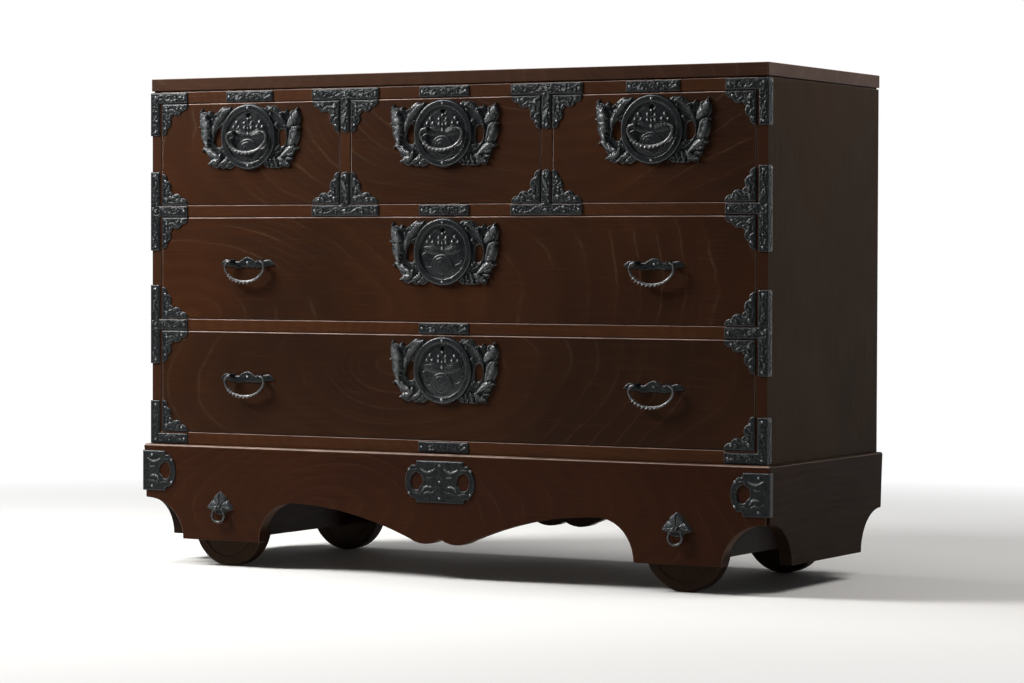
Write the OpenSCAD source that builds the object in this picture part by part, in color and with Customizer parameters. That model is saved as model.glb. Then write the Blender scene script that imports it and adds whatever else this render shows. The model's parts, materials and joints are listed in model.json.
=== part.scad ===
// Wheeled chest of drawers: a plank case with three small and two wide drawers, a
// shaped base with two axles and four wooden wheels, and black iron fittings.
// X runs along the width, +Y to the back, +Z up. The origin is on the ground plane
// under the middle of the chest's outer box.

/* [Case] */
// Width of the case across its side panels
case_w = 1200; // [1120:5:1400]
// Depth of the case from the rails' front face to the back panel's rear face
case_d = 450; // [420:5:560]
// Height of each row's drawer opening
opening_h = 180; // [170:1:220]
// Height of the rails above and between the rows
rail_h = 20; // [18:1:26]
// Height of the bottom rail
bottom_rail_h = 22; // [20:1:28]
// Depth of a rail behind its front face
rail_d = 30; // [26:1:60]
// Thickness of the side panels
side_t = 20; // [18:1:26]
// Thickness of the dividers between the small drawers
divider_t = 20; // [18:1:26]
// Thickness of the shelf boards behind the rails
shelf_t = 10; // [8:1:16]
// Thickness of the case's bottom board
bottom_t = 12; // [8:1:18]
// Thickness of the back panel
back_t = 10; // [6:1:16]
// Thickness of the top board above its shadow groove
top_t = 21.5; // [16:0.5:30]
// Overhang of the top board past the case on every side
top_overhang = 1; // [0.5:0.5:6]
// Height of the shadow groove under the top board's edge
groove_h = 2.5; // [1:0.5:4]
// Depth of the shadow groove from the case's face
groove_d = 3; // [2:0.5:6]

/* [Drawers] */
// Gap at the sides and the top of a drawer front
front_gap = 1.25; // [0.8:0.05:2]
// Gap under a drawer front
foot_gap = 1; // [0.8:0.1:2]
// Running gap under a drawer's box
run_gap = 0.3; // [0.2:0.1:0.7]
// Gap between a closed drawer and the back panel
stop_gap = 0.5; // [0.3:0.1:3]
// Thickness of a drawer front
front_t = 20; // [18:1:26]
// Thickness of a drawer's side boards
box_side_t = 10; // [8:1:14]
// Thickness of a drawer's back board
box_back_t = 10; // [8:1:14]
// Thickness of a drawer's bottom board
box_bottom_t = 8; // [6:1:12]
// Height of a drawer's side boards
box_h = 150; // [100:1:160]
// Glue line between the boards of a drawer and between the base's mitres
glue_line = 0.05; // [0.02:0.01:0.1]

/* [Locks] */
// Width of a lock case
lock_w = 42; // [36:1:60]
// Height of a lock case
lock_h = 36; // [34:1:44]
// Thickness of a lock case, let into the drawer front from behind
lock_t = 12; // [11:0.5:13]
// Width of a lock bolt
bolt_w = 18; // [12:1:22]
// Thickness of a lock bolt
bolt_t = 5; // [3:0.5:6]
// Length of a lock bolt
bolt_len = 26; // [20:1:28]
// Travel of a lock bolt into the rail above
bolt_travel = 9; // [5:1:12]
// Sliding clearance round a lock bolt
bolt_gap = 0.2; // [0.1:0.05:0.4]
// Extra room for a lock bolt in its mortise in the rail
mortise_room = 1; // [0.5:0.1:2]
// Bore of the keyhole
keyhole_d = 7; // [5:0.5:9]

/* [Base] */
// Height of the base's band above the corner coves
band_h = 95; // [88:1:120]
// How far the feet reach below the band
foot_drop = 71; // [60:1:80]
// Thickness of the base aprons
apron_t = 22; // [18:1:28]
// How far the base stands out in front of the case
base_out_front = 11.5; // [6:0.5:16]
// How far the base stands out at each side of the case
base_out_side = 9.5; // [6:0.5:16]
// How far the base stands out behind the case
base_out_back = 3; // [1:0.5:8]
// Radius of the base's rounded top edge
ledge_r = 4; // [2:0.5:6]
// Flat lip at the corner before a cove begins
cove_lip = 6; // [3:1:12]
// Length of a cove along the side aprons, from the corner
side_cove = 91; // [80:1:110]
// Height of the front arches' crown above the middle pendant's lobes
pendant_drop = 58; // [50:1:60]
// Distance of a pendant lobe from the middle
lobe_x = 31; // [26:1:36]
// Radius of a pendant lobe
lobe_r = 57; // [50:1:66]
// Distance from the middle to the crown of a front arch
crown_x = 300; // [260:5:320]
// Width of the blocks glued into the base's corners
corner_block_w = 40; // [30:1:44]
// Height of the blocks glued into the base's corners
corner_block_h = 80; // [60:1:86]
// Thickness of the bearers that carry the axles under the case
bearer_w = 40; // [34:1:50]
// How far the bearers hang under the base's top
bearer_drop = 164; // [160:1:166]

/* [Wheels] */
// Radius of a wheel
wheel_r = 72; // [66:1:76]
// Thickness of a wheel
wheel_t = 30; // [24:1:40]
// Chamfer on a wheel's rims
wheel_chamfer = 2.5; // [1:0.5:5]
// Depth of the ring turned into a wheel's faces
wheel_groove = 1.5; // [0.5:0.5:3]
// Width of the ring turned into a wheel's faces
wheel_groove_w = 4; // [2:0.5:8]
// Width of a wheel's rim outside the turned ring
wheel_rim = 16; // [10:1:24]
// Distance of the axle under the base's top
axle_drop = 140; // [132:1:148]
// Distance from the middle to an axle
axle_x = 446; // [430:1:470]
// Diameter of an axle
axle_d = 24; // [18:1:30]
// How deep an axle's end is let into an apron
axle_seat = 12; // [8:1:14]
// Radial clearance of a wheel on its axle
wheel_play = 0.08; // [0.05:0.01:0.1]
// Thickness of an axle washer
washer_t = 2.5; // [2:0.5:4]
// Diameter of an axle washer
washer_d = 44; // [38:1:56]
// Side gap between a wheel, its washers and the apron
wheel_gap = 0.25; // [0.2:0.05:0.5]
// Margin of a foot past its wheel on each side
foot_margin = 8; // [4:1:12]
// Diameter of an axle pin
pin_d = 5; // [4:0.5:7]
// Length of an axle pin
pin_len = 46; // [45:1:52]
// Thickness of an axle pin's head
pin_head = 2; // [1:0.5:3]

/* [Irons] */
// Thickness of the iron plates on the case and the drawers
iron_t = 2.2; // [1.6:0.1:3]
// Distance of a case iron from the edge of its rail or stile
iron_inset = 0.75; // [0.5:0.25:1.5]
// Length of the arms of the case's corner and tee irons
arm_len = 76; // [66:1:86]
// Height of the tee irons on the side panels' front edges
side_tee_h = 139; // [120:1:150]
// Width of the tee irons at the dividers' ends
divider_tee_w = 136; // [120:1:150]
// Width of the flanges that wrap round onto the side panels
wrap_w = 14; // [10:1:20]
// Length of the plain plates on the rails
rail_plate_len = 98; // [80:1:120]
// Length of the arms of a drawer's corner irons
drawer_iron_len = 55; // [46:1:58]
// Diameter of a nail's head
nail_head_d = 4.6; // [3:0.2:5]
// Height of a nail's head
nail_head_h = 1.3; // [0.8:0.1:2]
// Diameter of a nail's shank
nail_shank_d = 2; // [1.6:0.1:2.4]
// Distance of an iron's nails from its ends
nail_edge = 6; // [5:0.5:9]
// How deep a nail's shank goes into the wood
nail_bite = 5; // [3:0.5:6]
// Radial clearance of a nail's shank in its hole
nail_gap = 0.05; // [0.02:0.01:0.1]
// Hairline between a nail's head and the iron that it holds
seat_gap = 0.02; // [0.01:0.01:0.05]

/* [Escutcheons] */
// Diameter of the round plate at a drawer's keyhole
disc_d = 115; // [100:1:118]
// Gap between the round plate and the drawer front's top edge
disc_gap = 2; // [1:0.5:6]
// Width of the round plate's raised rim
rim_w = 15; // [10:0.5:18]
// Height of the rim above the drawer front
rim_h = 7; // [6:0.2:8]
// Height of the round plate's field inside the rim
field_h = 4.6; // [3:0.2:5.4]
// Distance of the keyhole above the round plate's middle
keyhole_rise = 37; // [34:0.5:39]
// Thickness of the scroll figures beside the round plate
scroll_t = 5; // [3:0.5:6]
// Half the width of the whole escutcheon
scroll_reach = 105; // [98:1:110]

/* [Handles] */
// Width of a bail between its arms' middle lines
bail_w = 81; // [76:1:88]
// Depth of a bail from its pivot to its lowest middle line
bail_drop = 35; // [32:1:40]
// Diameter of a bail's bar
bail_d = 6; // [5:0.5:7]
// Radius of the bend at each end of a bail
bail_bend = 8; // [6:0.5:9]
// Diameter of a bail's pivot pins
bail_pin_d = 4; // [3:0.5:4.5]
// Radial clearance of a bail's pins in their lugs
bail_play = 0.08; // [0.05:0.01:0.1]
// Distance of a bail's pivot from the drawer's face
bail_out = 11; // [10.4:0.1:12]
// Outer diameter of a bail's lugs
lug_d = 9; // [8:0.5:10]
// Width of a bail's lugs
lug_w = 5; // [4:0.5:6]
// Side gap between a bail's arms and their lugs
lug_side_gap = 1; // [0.5:0.1:2]
// Height of the bail's pivot above the round plate's middle
disc_bail_rise = 7.5; // [4:0.5:14]
// Height of the bail's pivot above the middle of a wide drawer
wide_bail_rise = 11.5; // [6:0.5:16]
// Distance of a wide drawer's bails from its middle
wide_bail_x = 397; // [360:1:420]
// Half the width of a bail's own back plate
bail_plate_reach = 55; // [50:1:60]
// Height of the wings of a bail's own back plate
bail_wing_h = 9; // [7:0.5:11]
// Width of the hump of a bail's own back plate
bail_hump_w = 31; // [24:1:36]

/* [Rings] */
// Outer diameter of a drop ring
ring_d = 29; // [26:1:34]
// Diameter of a drop ring's wire
ring_wire = 4; // [3:0.5:5]
// Distance of a ring's pivot from the base's face
ring_out = 8; // [7:0.5:10]
// Radial clearance of a ring in its eye
ring_play = 0.1; // [0.05:0.01:0.1]
// Width of a ring's eye
eye_w = 2.6; // [2:0.2:3]
// Wall of a ring's eye round its bore
eye_wall = 1.8; // [1.4:0.1:2.4]
// Length of a leaf of a ring's plate
ring_leaf_len = 34; // [28:1:40]
// Width of a leaf of a ring's plate
ring_leaf_w = 24; // [18:1:28]
// Angle between the middle leaf of a ring's plate and the outer ones
ring_leaf_turn = 62; // [50:1:75]
// Drop of a ring plate's middle under the base's top
ring_plate_drop = 108; // [102:1:112]

/* [Base irons] */
// Width of the plate in the middle of the front apron
base_plate_w = 140; // [120:1:160]
// Height of the base's plates
base_plate_h = 71; // [60:1:78]
// Drop of the plates' middle under the base's top
base_plate_drop = 47; // [44:1:52]
// Width of the straight part in the middle of a plate
base_plate_flat = 94; // [80:1:100]
// Radius of a plate's rounded ends
base_plate_end_r = 38; // [34:1:44]
// Distance of the leaf-shaped openings from a plate's middle
leaf_x = 44; // [40:1:50]
// Height of the leaf-shaped openings
leaf_h = 30; // [20:1:34]
// Width of the leaf-shaped openings
leaf_w = 21; // [14:1:24]
// Tilt of the leaf-shaped openings
leaf_tilt = 8; // [0:1:12]
// Radius of the notches at a plate's corners
plate_notch_r = 4.5; // [2:0.5:6]
// Width of the plates' flanges that wrap round onto the side aprons
base_wrap_w = 12; // [8:1:18]

/* [Hidden] */

$fn = 64;
nudge = 0.01;

// Heights of the case, measured from the base's top
row_pitch = opening_h + rail_h;
case_h = bottom_rail_h + 3 * row_pitch;
base_h = band_h + foot_drop;
ground_drop = axle_drop + wheel_r;

// The whole chest's reach in front of and behind the case's front face
front_reach = base_out_front + ring_out + ring_wire / 2 + ring_play + eye_wall;
back_reach = case_d + base_out_back;
case_y = (front_reach - back_reach) / 2;

half_w = case_w / 2;
base_half = half_w + base_out_side;
base_d = base_out_front + back_reach;
inner_w = case_w - 2 * side_t;
small_w = (inner_w - 2 * divider_t) / 3;
inner_back = case_d - back_t;

// Drawers count from 0: left, centre, right, middle and bottom
LEFT = 0;
CENTRE = 1;
RIGHT = 2;
MIDDLE = 3;
BOTTOM = 4;
DRAWERS = [LEFT, CENTRE, RIGHT, MIDDLE, BOTTOM];

bail_hump_rise = 1;
function is_small(i) = i < MIDDLE;
function drawer_x(i) = is_small(i) ? (i - 1) * (small_w + divider_t) : 0;
function opening_w(i) = is_small(i) ? small_w : inner_w;
function opening_z(i) = bottom_rail_h + (is_small(i) ? 2 : BOTTOM - i) * row_pitch;
function front_w(i) = opening_w(i) - 2 * front_gap;
front_h = opening_h - foot_gap - front_gap;
function front_z(i) = opening_z(i) + foot_gap;
function front_top(i) = front_z(i) + front_h;
disc_r = disc_d / 2;
function disc_z(i) = front_top(i) - disc_gap - disc_r;
function wide_bail_z(i) = opening_z(i) + opening_h / 2 + wide_bail_rise;

function mid(a, b) = (a + b) / 2;

// Sets children given in the case's own frame into the part's frame
module in_place() {
  translate([0, case_y, ground_drop]) children();
}

module both_sides() {
  children();
  mirror([1, 0, 0]) children();
}

// A plate of the given thickness standing on the plane at depth y, facing the front
module front_plate(y, thick) {
  translate([0, y, 0]) rotate([90, 0, 0]) linear_extrude(thick) children();
}

// Nails

module nail(plate) {
  head_r = nail_head_d / 2;
  shank_r = nail_shank_d / 2;
  dome = [for (a = [0:22.5:90]) [head_r * cos(a), nail_head_h * sin(a)]];
  foot = [[0, -plate - nail_bite], [shank_r, -plate - nail_bite], [shank_r, 0]];
  rotate_extrude($fn = 24) polygon(concat(foot, dome));
}

module front_nails(points, y, plate) {
  for (p = points) translate([p[0], y - plate - seat_gap, p[1]]) rotate([90, 0, 0]) nail(plate);
}

module front_nail_holes(points, y) {
  hole_len = rim_h + iron_t + nail_bite + nail_gap;
  for (p = points)
    translate([p[0], y + nail_bite + nail_gap, p[1]]) rotate([90, 0, 0])
      cylinder(r = nail_shank_d / 2 + nail_gap, h = hole_len, $fn = 16);
}

module nail_circles(points) {
  for (p = points) translate(p) circle(r = nail_shank_d / 2 + nail_gap, $fn = 16);
}

// Case irons, as outlines on the front face with x from the middle and z up

module bar(x0, z0, x1, z1) {
  translate([min(x0, x1), min(z0, z1)]) square([abs(x1 - x0), abs(z1 - z0)]);
}

stile_w = side_t - iron_inset;
rail_bar = rail_h - 2 * iron_inset;
tip_r = (divider_t - 2 * iron_inset) / 2;

function rail_z(k) = bottom_rail_h + k * row_pitch - rail_h;
top_bar_z = rail_z(3) + iron_inset;
low_bar_z = iron_inset;
low_bar_top = bottom_rail_h - iron_inset;
divider_x = small_w / 2 + divider_t / 2;

module corner_outline(top) {
  z_bar0 = top ? top_bar_z : low_bar_z;
  z_bar1 = top ? top_bar_z + rail_bar : low_bar_top;
  z_end = top ? z_bar1 - arm_len : z_bar0 + arm_len;
  bar(half_w - arm_len, z_bar0, half_w, z_bar1);
  bar(half_w - stile_w, z_end, half_w, top ? z_bar1 : z_bar0);
}

tee_half = side_tee_h / 2;
module side_tee_outline(k) {
  middle = rail_z(k) + rail_h / 2;
  bar(half_w - stile_w, middle - tee_half, half_w, middle + tee_half);
  bar(half_w - arm_len, middle - rail_bar / 2, half_w, middle + rail_bar / 2);
}

divider_tee_half = divider_tee_w / 2;
module divider_tee_outline(top) {
  z0 = top ? top_bar_z : rail_z(2) + iron_inset;
  z_tip = top ? z0 + rail_bar - arm_len : z0 + arm_len;
  z_round = top ? z_tip + tip_r : z_tip - tip_r;
  bar(divider_x - divider_tee_half, z0, divider_x + divider_tee_half, z0 + rail_bar);
  bar(divider_x - tip_r, top ? z_round : z0, divider_x + tip_r, top ? z0 + rail_bar : z_round);
  translate([divider_x, z_round]) circle(r = tip_r);
}

function rail_plate_places() = [
  [-(small_w + divider_t), rail_z(3)], [0, rail_z(3)], [small_w + divider_t, rail_z(3)],
  [0, rail_z(2)], [0, rail_z(1)], [0, (bottom_rail_h - rail_h) / 2]
];

function mirrored(points) = concat(points, [for (p = points) [-p[0], p[1]]]);

// Nail places of each iron, right-hand ones first
stile_mid = half_w - stile_w / 2;
top_bar_mid = top_bar_z + rail_bar / 2;
low_bar_mid = mid(low_bar_z, low_bar_top);
corner_nails = mirrored([
  [half_w - arm_len + nail_edge, top_bar_mid], [stile_mid, top_bar_z + rail_bar - nail_edge],
  [stile_mid, top_bar_z + rail_bar - arm_len + nail_edge],
  [half_w - arm_len + nail_edge, low_bar_mid], [stile_mid, low_bar_z + nail_edge],
  [stile_mid, low_bar_z + arm_len - nail_edge]
]);
function side_tee_nails(k) = let (m = rail_z(k) + rail_h / 2) mirrored([
  [stile_mid, m + tee_half - nail_edge], [stile_mid, m], [stile_mid, m - tee_half + nail_edge],
  [half_w - arm_len + nail_edge, m]
]);
function divider_tee_nails(top) =
  let (z0 = top ? top_bar_z : rail_z(2) + iron_inset, m = z0 + rail_bar / 2,
       tip = top ? z0 + rail_bar - arm_len + nail_edge : z0 + arm_len - nail_edge)
  mirrored([[divider_x - divider_tee_half + nail_edge, m], [divider_x, m], [divider_x, tip],
            [divider_x + divider_tee_half - nail_edge, m]]);
rail_plate_nails = [for (p = rail_plate_places(), s = [-1, 1])
  [p[0] + s * (rail_plate_len / 2 - nail_edge), p[1] + rail_h / 2]];
case_nails = concat(corner_nails, side_tee_nails(1), side_tee_nails(2),
                    divider_tee_nails(true), divider_tee_nails(false), rail_plate_nails);

// Vertical spans of the flanges on the side panels: [low, high]
wrap_spans = [
  [top_bar_z + rail_bar - arm_len, top_bar_z + rail_bar],
  [low_bar_z, low_bar_z + arm_len],
  [rail_z(1) + rail_h / 2 - tee_half, rail_z(1) + rail_h / 2 + tee_half],
  [rail_z(2) + rail_h / 2 - tee_half, rail_z(2) + rail_h / 2 + tee_half]
];
wrap_nail_y = wrap_w * 0.6;
wrap_nails = [
  for (s = wrap_spans, z = [s[0] + nail_edge, s[1] - nail_edge]) [wrap_nail_y, z],
  for (k = [1, 2]) [wrap_nail_y, rail_z(k) + rail_h / 2]
];

module wrap_nail_holes() {
  for (p = wrap_nails)
    translate([half_w - nail_bite - nail_gap, p[0], p[1]]) rotate([0, 90, 0])
      cylinder(r = nail_shank_d / 2 + nail_gap, h = nail_bite + iron_t + 2 * nail_gap, $fn = 16);
}

module case_iron_outlines() {
  corner_outline(true);
  corner_outline(false);
  side_tee_outline(1);
  side_tee_outline(2);
  divider_tee_outline(true);
  divider_tee_outline(false);
}

module case_irons() {
  color("#23272b") in_place() {
    front_plate(0, iron_t) difference() {
      union() {
        case_iron_outlines();
        mirror([1, 0]) case_iron_outlines();
        for (p = rail_plate_places())
          translate([p[0] - rail_plate_len / 2, p[1] + iron_inset]) square([rail_plate_len, rail_bar]);
      }
      nail_circles(case_nails);
    }
    both_sides() {
      difference() {
        for (s = wrap_spans) {
          translate([half_w, -iron_t, s[0]]) cube([iron_t, wrap_w + iron_t, s[1] - s[0]]);
        }
        wrap_nail_holes();
      }
      for (p = wrap_nails)
        translate([half_w + iron_t + seat_gap, p[0], p[1]]) rotate([0, 90, 0]) nail(iron_t);
    }
    front_nails(case_nails, 0, iron_t);
  }
}

// Case boards

module top_board() {
  w = case_w + 2 * top_overhang;
  d = case_d + 2 * top_overhang;
  color("#4a2a1a") in_place() {
    translate([-w / 2, -top_overhang, case_h + groove_h]) cube([w, d, top_t]);
    translate([-half_w + groove_d, groove_d, case_h])
      cube([case_w - 2 * groove_d, case_d - 2 * groove_d, groove_h + nudge]);
  }
}

module side_panel() {
  difference() {
    translate([half_w - side_t, 0, 0]) cube([side_t, case_d, case_h]);
    front_nail_holes([for (p = case_nails) if (p[0] > half_w - side_t) p], 0);
    wrap_nail_holes();
  }
}

module right_side_panel() {
  color("#3c2c22") in_place() side_panel();
}

module left_side_panel() {
  color("#3c2c22") in_place() mirror([1, 0, 0]) side_panel();
}

module back_panel() {
  color("#6b4a33") in_place()
    translate([-inner_w / 2, inner_back, 0]) cube([inner_w, back_t, case_h]);
}

module bottom_board() {
  color("#a5825f") in_place()
    translate([-inner_w / 2, rail_d, bottom_rail_h - bottom_t])
      cube([inner_w, inner_back - rail_d, bottom_t]);
}

module bolt_mortise(i) {
  w = bolt_w + 2 * mortise_room;
  d = bolt_t + 2 * mortise_room;
  translate([drawer_x(i) - w / 2, bolt_mid_y - d / 2, opening_z(i) + opening_h - nudge])
    cube([w, d, bolt_travel - front_gap + mortise_room]);
}

module front_rails() {
  color("#5a2f1c") in_place() difference() {
    union() {
      translate([-inner_w / 2, 0, 0]) cube([inner_w, rail_d, bottom_rail_h]);
      for (k = [1:3]) translate([-inner_w / 2, 0, rail_z(k)]) cube([inner_w, rail_d, rail_h]);
    }
    front_nail_holes([for (p = case_nails) if (abs(p[0]) < inner_w / 2) p], 0);
    for (i = DRAWERS) bolt_mortise(i);
  }
}

module divider() {
  difference() {
    translate([small_w / 2, 0, opening_z(LEFT)])
      cube([divider_t, inner_back, opening_h + rail_h]);
    translate([small_w / 2 - 1, -1, rail_z(3)]) cube([divider_t + 2, rail_d + 1, rail_h + 1]);
    front_nail_holes([for (p = divider_tee_nails(true)) if (p[0] > 0) p], 0);
    front_nail_holes([for (p = divider_tee_nails(false)) if (p[0] > 0) p], 0);
  }
}

module dividers() {
  color("#54301f") in_place() both_sides() divider();
}

module shelf_boards() {
  color("#a5825f") in_place()
    for (k = [1:2])
      translate([-inner_w / 2, rail_d, rail_z(k) + rail_h - shelf_t])
        cube([inner_w, inner_back - rail_d, shelf_t]);
}

// Base

// Quarter of an ellipse from a cove's lip down to the foot, from the outer corner in
function cove_points(corner, foot, steps = 12) = [for (s = [0:steps]) let (a = 90 * s / steps)
  [corner - cove_lip - (corner - cove_lip - foot) * sin(a), -base_h + foot_drop * cos(a)]];

// Quarter of an ellipse from a foot's inner end up to the crown of an arch
function arch_points(foot, crown, steps = 10) = [for (s = [0:steps]) let (a = 90 * s / steps)
  [crown + (foot - crown) * cos(a), -base_h + foot_drop * sin(a)]];

// Long falling curve from the crown to the pendant, then over one lobe to the middle
lobe_low = -band_h - pendant_drop;
lobe_turn = 31;
lobe_in = asin(lobe_x / lobe_r);
lobe_end = lobe_x + lobe_r * sin(lobe_turn);
lobe_end_z = lobe_low + lobe_r * (1 - cos(lobe_turn));
function fall_points(crown, steps = 10) = [for (s = [1:steps]) let (t = s / steps)
  [crown - (crown - lobe_end) * t, -band_h + (lobe_end_z + band_h) * t * t]];
function lobe_points(steps = 6) = [for (s = [1:steps])
  let (a = lobe_turn - (lobe_turn + lobe_in) * s / steps)
  [lobe_x + lobe_r * sin(a), lobe_low + lobe_r * (1 - cos(a))]];

foot_out = axle_x + wheel_r + foot_margin;
foot_in = axle_x - wheel_r - foot_margin;

// Outlines of the right half of an apron, from the top's outer end to the middle
function front_outline() = concat(
  [[base_half, 0]], cove_points(base_half, foot_out), arch_points(foot_in, crown_x),
  fall_points(crown_x), lobe_points());
function side_outline(half) = concat([[half, 0]], cove_points(half, half - side_cove));
function whole(half_outline) = concat(
  [for (n = [len(half_outline) - 1:-1:0]) if (half_outline[n][0] > nudge)
    [-half_outline[n][0], half_outline[n][1]]],
  half_outline);

// What is planed off a top edge that runs along X, with the wood at +Y and -Z
module edge_waste(len) {
  difference() {
    translate([-len / 2, -1, -ledge_r]) cube([len, ledge_r + 1, ledge_r + 1]);
    translate([-len / 2 - 1, ledge_r, -ledge_r]) rotate([0, 90, 0])
      cylinder(r = ledge_r, h = len + 2);
  }
}

base_plate_mid = -base_plate_drop;
plate_nail_z = base_plate_h / 2 - nail_edge - iron_t;
plate_nails_in = [[0, plate_nail_z], [0, 0], [0, -plate_nail_z]];
end_nail_x = base_plate_w / 2 - nail_edge - iron_t;
end_nail_z = base_plate_h * 0.28;
plate_end_nails = [[end_nail_x, end_nail_z], [end_nail_x, -end_nail_z]];
corner_nail_x = base_half - base_wrap_w - nail_edge;
corner_plate_nails = [for (s = [-1, 1], p = [[corner_nail_x, plate_nail_z],
                                             [base_half - end_nail_x, end_nail_z]])
  [p[0], base_plate_mid + s * p[1]]];
ring_plate_z = -ring_plate_drop;
ring_nail_out = ring_leaf_w * 0.36;
ring_plate_nails = [for (s = [-1, 1], t = [-1, 1])
  [s * axle_x + t * ring_nail_out, ring_plate_z + ring_nail_out]];
centre_plate_nails = [for (p = concat(plate_nails_in, mirrored(plate_end_nails)))
  [p[0], p[1] + base_plate_mid]];
base_nails = concat(centre_plate_nails, mirrored(corner_plate_nails), ring_plate_nails);
base_wrap_nail_y = base_wrap_w * 0.65;
base_wrap_nails = [for (s = [-1, 1]) [base_wrap_nail_y, base_plate_mid + s * plate_nail_z]];

module base_wrap_nail_holes() {
  for (p = base_wrap_nails)
    translate([base_half - nail_bite - nail_gap, p[0] - base_out_front, p[1]]) rotate([0, 90, 0])
      cylinder(r = nail_shank_d / 2 + nail_gap, h = nail_bite + iron_t + 2 * nail_gap, $fn = 16);
}

module axle_bores(y, len) {
  for (s = [-1, 1])
    translate([s * axle_x, y, -axle_drop]) rotate([-90, 0, 0])
      cylinder(d = axle_d + 2 * nail_gap, h = len);
}

// What is cut off an apron's right-hand end for its mitre, with the front face at y = 0
module mitre_waste(end) {
  size = 4 * apron_t;
  translate([end - glue_line, 0, -base_h - 1]) rotate([0, 0, 45])
    translate([0, -size / 2, 0]) cube([size, size, base_h + 2]);
}

module apron_board(outline, half) {
  difference() {
    translate([0, apron_t, 0]) rotate([90, 0, 0])
      linear_extrude(apron_t) polygon(whole(outline));
    edge_waste(2 * half + 2);
    both_sides() mitre_waste(half);
  }
}

module base_front_apron() {
  color("#4a2416") in_place() difference() {
    translate([0, -base_out_front, 0]) apron_board(front_outline(), base_half);
    axle_bores(apron_t - axle_seat - base_out_front, axle_seat + 1);
    front_nail_holes(base_nails, -base_out_front);
  }
}

module base_back_apron() {
  color("#4a2416") in_place() difference() {
    translate([0, back_reach, 0]) mirror([0, 1, 0]) apron_board(front_outline(), base_half);
    axle_bores(back_reach - apron_t - 1, axle_seat + 1);
  }
}

module base_side_aprons() {
  middle = mid(-base_out_front, back_reach);
  half = base_d / 2;
  color("#3f2418") in_place() both_sides() difference() {
    translate([base_half, middle, 0]) rotate([0, 0, 90]) apron_board(side_outline(half), half);
    base_wrap_nail_holes();
  }
}

module corner_blocks() {
  x = base_half - apron_t - corner_block_w;
  y0 = apron_t - base_out_front;
  y1 = back_reach - apron_t - corner_block_w;
  for (y = [y0, y1])
    translate([x, y, -corner_block_h]) cube([corner_block_w, corner_block_w, corner_block_h]);
}

// Wheels

apron_front_y = apron_t - base_out_front;
apron_back_y = back_reach - apron_t;
front_wheel_y = apron_front_y + washer_t + 2 * wheel_gap;
back_wheel_y = apron_back_y - washer_t - 2 * wheel_gap - wheel_t;
pin_y_gap = pin_d / 2 + wheel_gap;

module wheel() {
  bore_r = axle_d / 2 + wheel_play;
  ring_out_r = wheel_r - wheel_rim;
  ring_in = ring_out_r - wheel_groove_w;
  outline = [
    [bore_r, 0], [ring_in, 0], [ring_in, wheel_groove], [ring_out_r, wheel_groove], [ring_out_r, 0],
    [wheel_r - wheel_chamfer, 0], [wheel_r, wheel_chamfer], [wheel_r, wheel_t - wheel_chamfer],
    [wheel_r - wheel_chamfer, wheel_t], [ring_out_r, wheel_t], [ring_out_r, wheel_t - wheel_groove],
    [ring_in, wheel_t - wheel_groove], [ring_in, wheel_t], [bore_r, wheel_t]
  ];
  rotate([-90, 0, 0]) rotate_extrude($fn = 96) polygon(outline);
}

module placed_wheel(x, y) {
  color("#2b1a12") in_place() translate([x, y, -axle_drop]) wheel();
}

module front_left_wheel() {
  placed_wheel(-axle_x, front_wheel_y);
}

module front_right_wheel() {
  placed_wheel(axle_x, front_wheel_y);
}

module back_left_wheel() {
  placed_wheel(-axle_x, back_wheel_y);
}

module back_right_wheel() {
  placed_wheel(axle_x, back_wheel_y);
}

front_pin_y = front_wheel_y + wheel_t + 2 * wheel_gap + washer_t + pin_y_gap;
back_pin_y = back_wheel_y - 2 * wheel_gap - washer_t - pin_y_gap;

module axles() {
  y0 = apron_front_y - axle_seat;
  y1 = apron_back_y + axle_seat;
  color("#3a3a3a") in_place() both_sides() difference() {
    translate([axle_x, y0, -axle_drop]) rotate([-90, 0, 0]) cylinder(d = axle_d, h = y1 - y0);
    for (y = [front_pin_y, back_pin_y])
      translate([axle_x, y, -axle_drop - axle_d]) cylinder(d = pin_d + 2 * nail_gap, h = 2 * axle_d);
  }
}

module bearer() {
  y0 = front_pin_y + pin_d + wheel_gap;
  y1 = back_pin_y - pin_d - wheel_gap;
  top = bottom_rail_h - bottom_t;
  difference() {
    translate([axle_x - bearer_w / 2, y0, -bearer_drop]) cube([bearer_w, y1 - y0, bearer_drop + top]);
    axle_bores(y0 - 1, y1 - y0 + 2);
  }
}

module base_blocks_and_bearers() {
  color("#3f2418") in_place() both_sides() {
    corner_blocks();
    bearer();
  }
}

module washer(y) {
  translate([axle_x, y, -axle_drop]) rotate([-90, 0, 0]) difference() {
    cylinder(d = washer_d, h = washer_t);
    translate([0, 0, -1]) cylinder(r = axle_d / 2 + wheel_play, h = washer_t + 2);
  }
}

module axle_washers() {
  color("#2b2e31") in_place() both_sides() {
    washer(apron_front_y + wheel_gap);
    washer(front_wheel_y + wheel_t + wheel_gap);
    washer(back_wheel_y - wheel_gap - washer_t);
    washer(apron_back_y - wheel_gap - washer_t);
  }
}

module axle_pins() {
  color("#2b2e31") in_place() both_sides() for (y = [front_pin_y, back_pin_y])
    translate([axle_x, y, -axle_drop - pin_len / 2]) {
      cylinder(d = pin_d, h = pin_len);
      translate([0, 0, pin_len]) cylinder(d = pin_d * 1.6, h = pin_head);
    }
}

// Base irons

module leaf(length, width) {
  r = (length * length + width * width) / (4 * width);
  intersection() {
    translate([r - width / 2, length / 2]) circle(r = r);
    translate([width / 2 - r, length / 2]) circle(r = r);
  }
}

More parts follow.
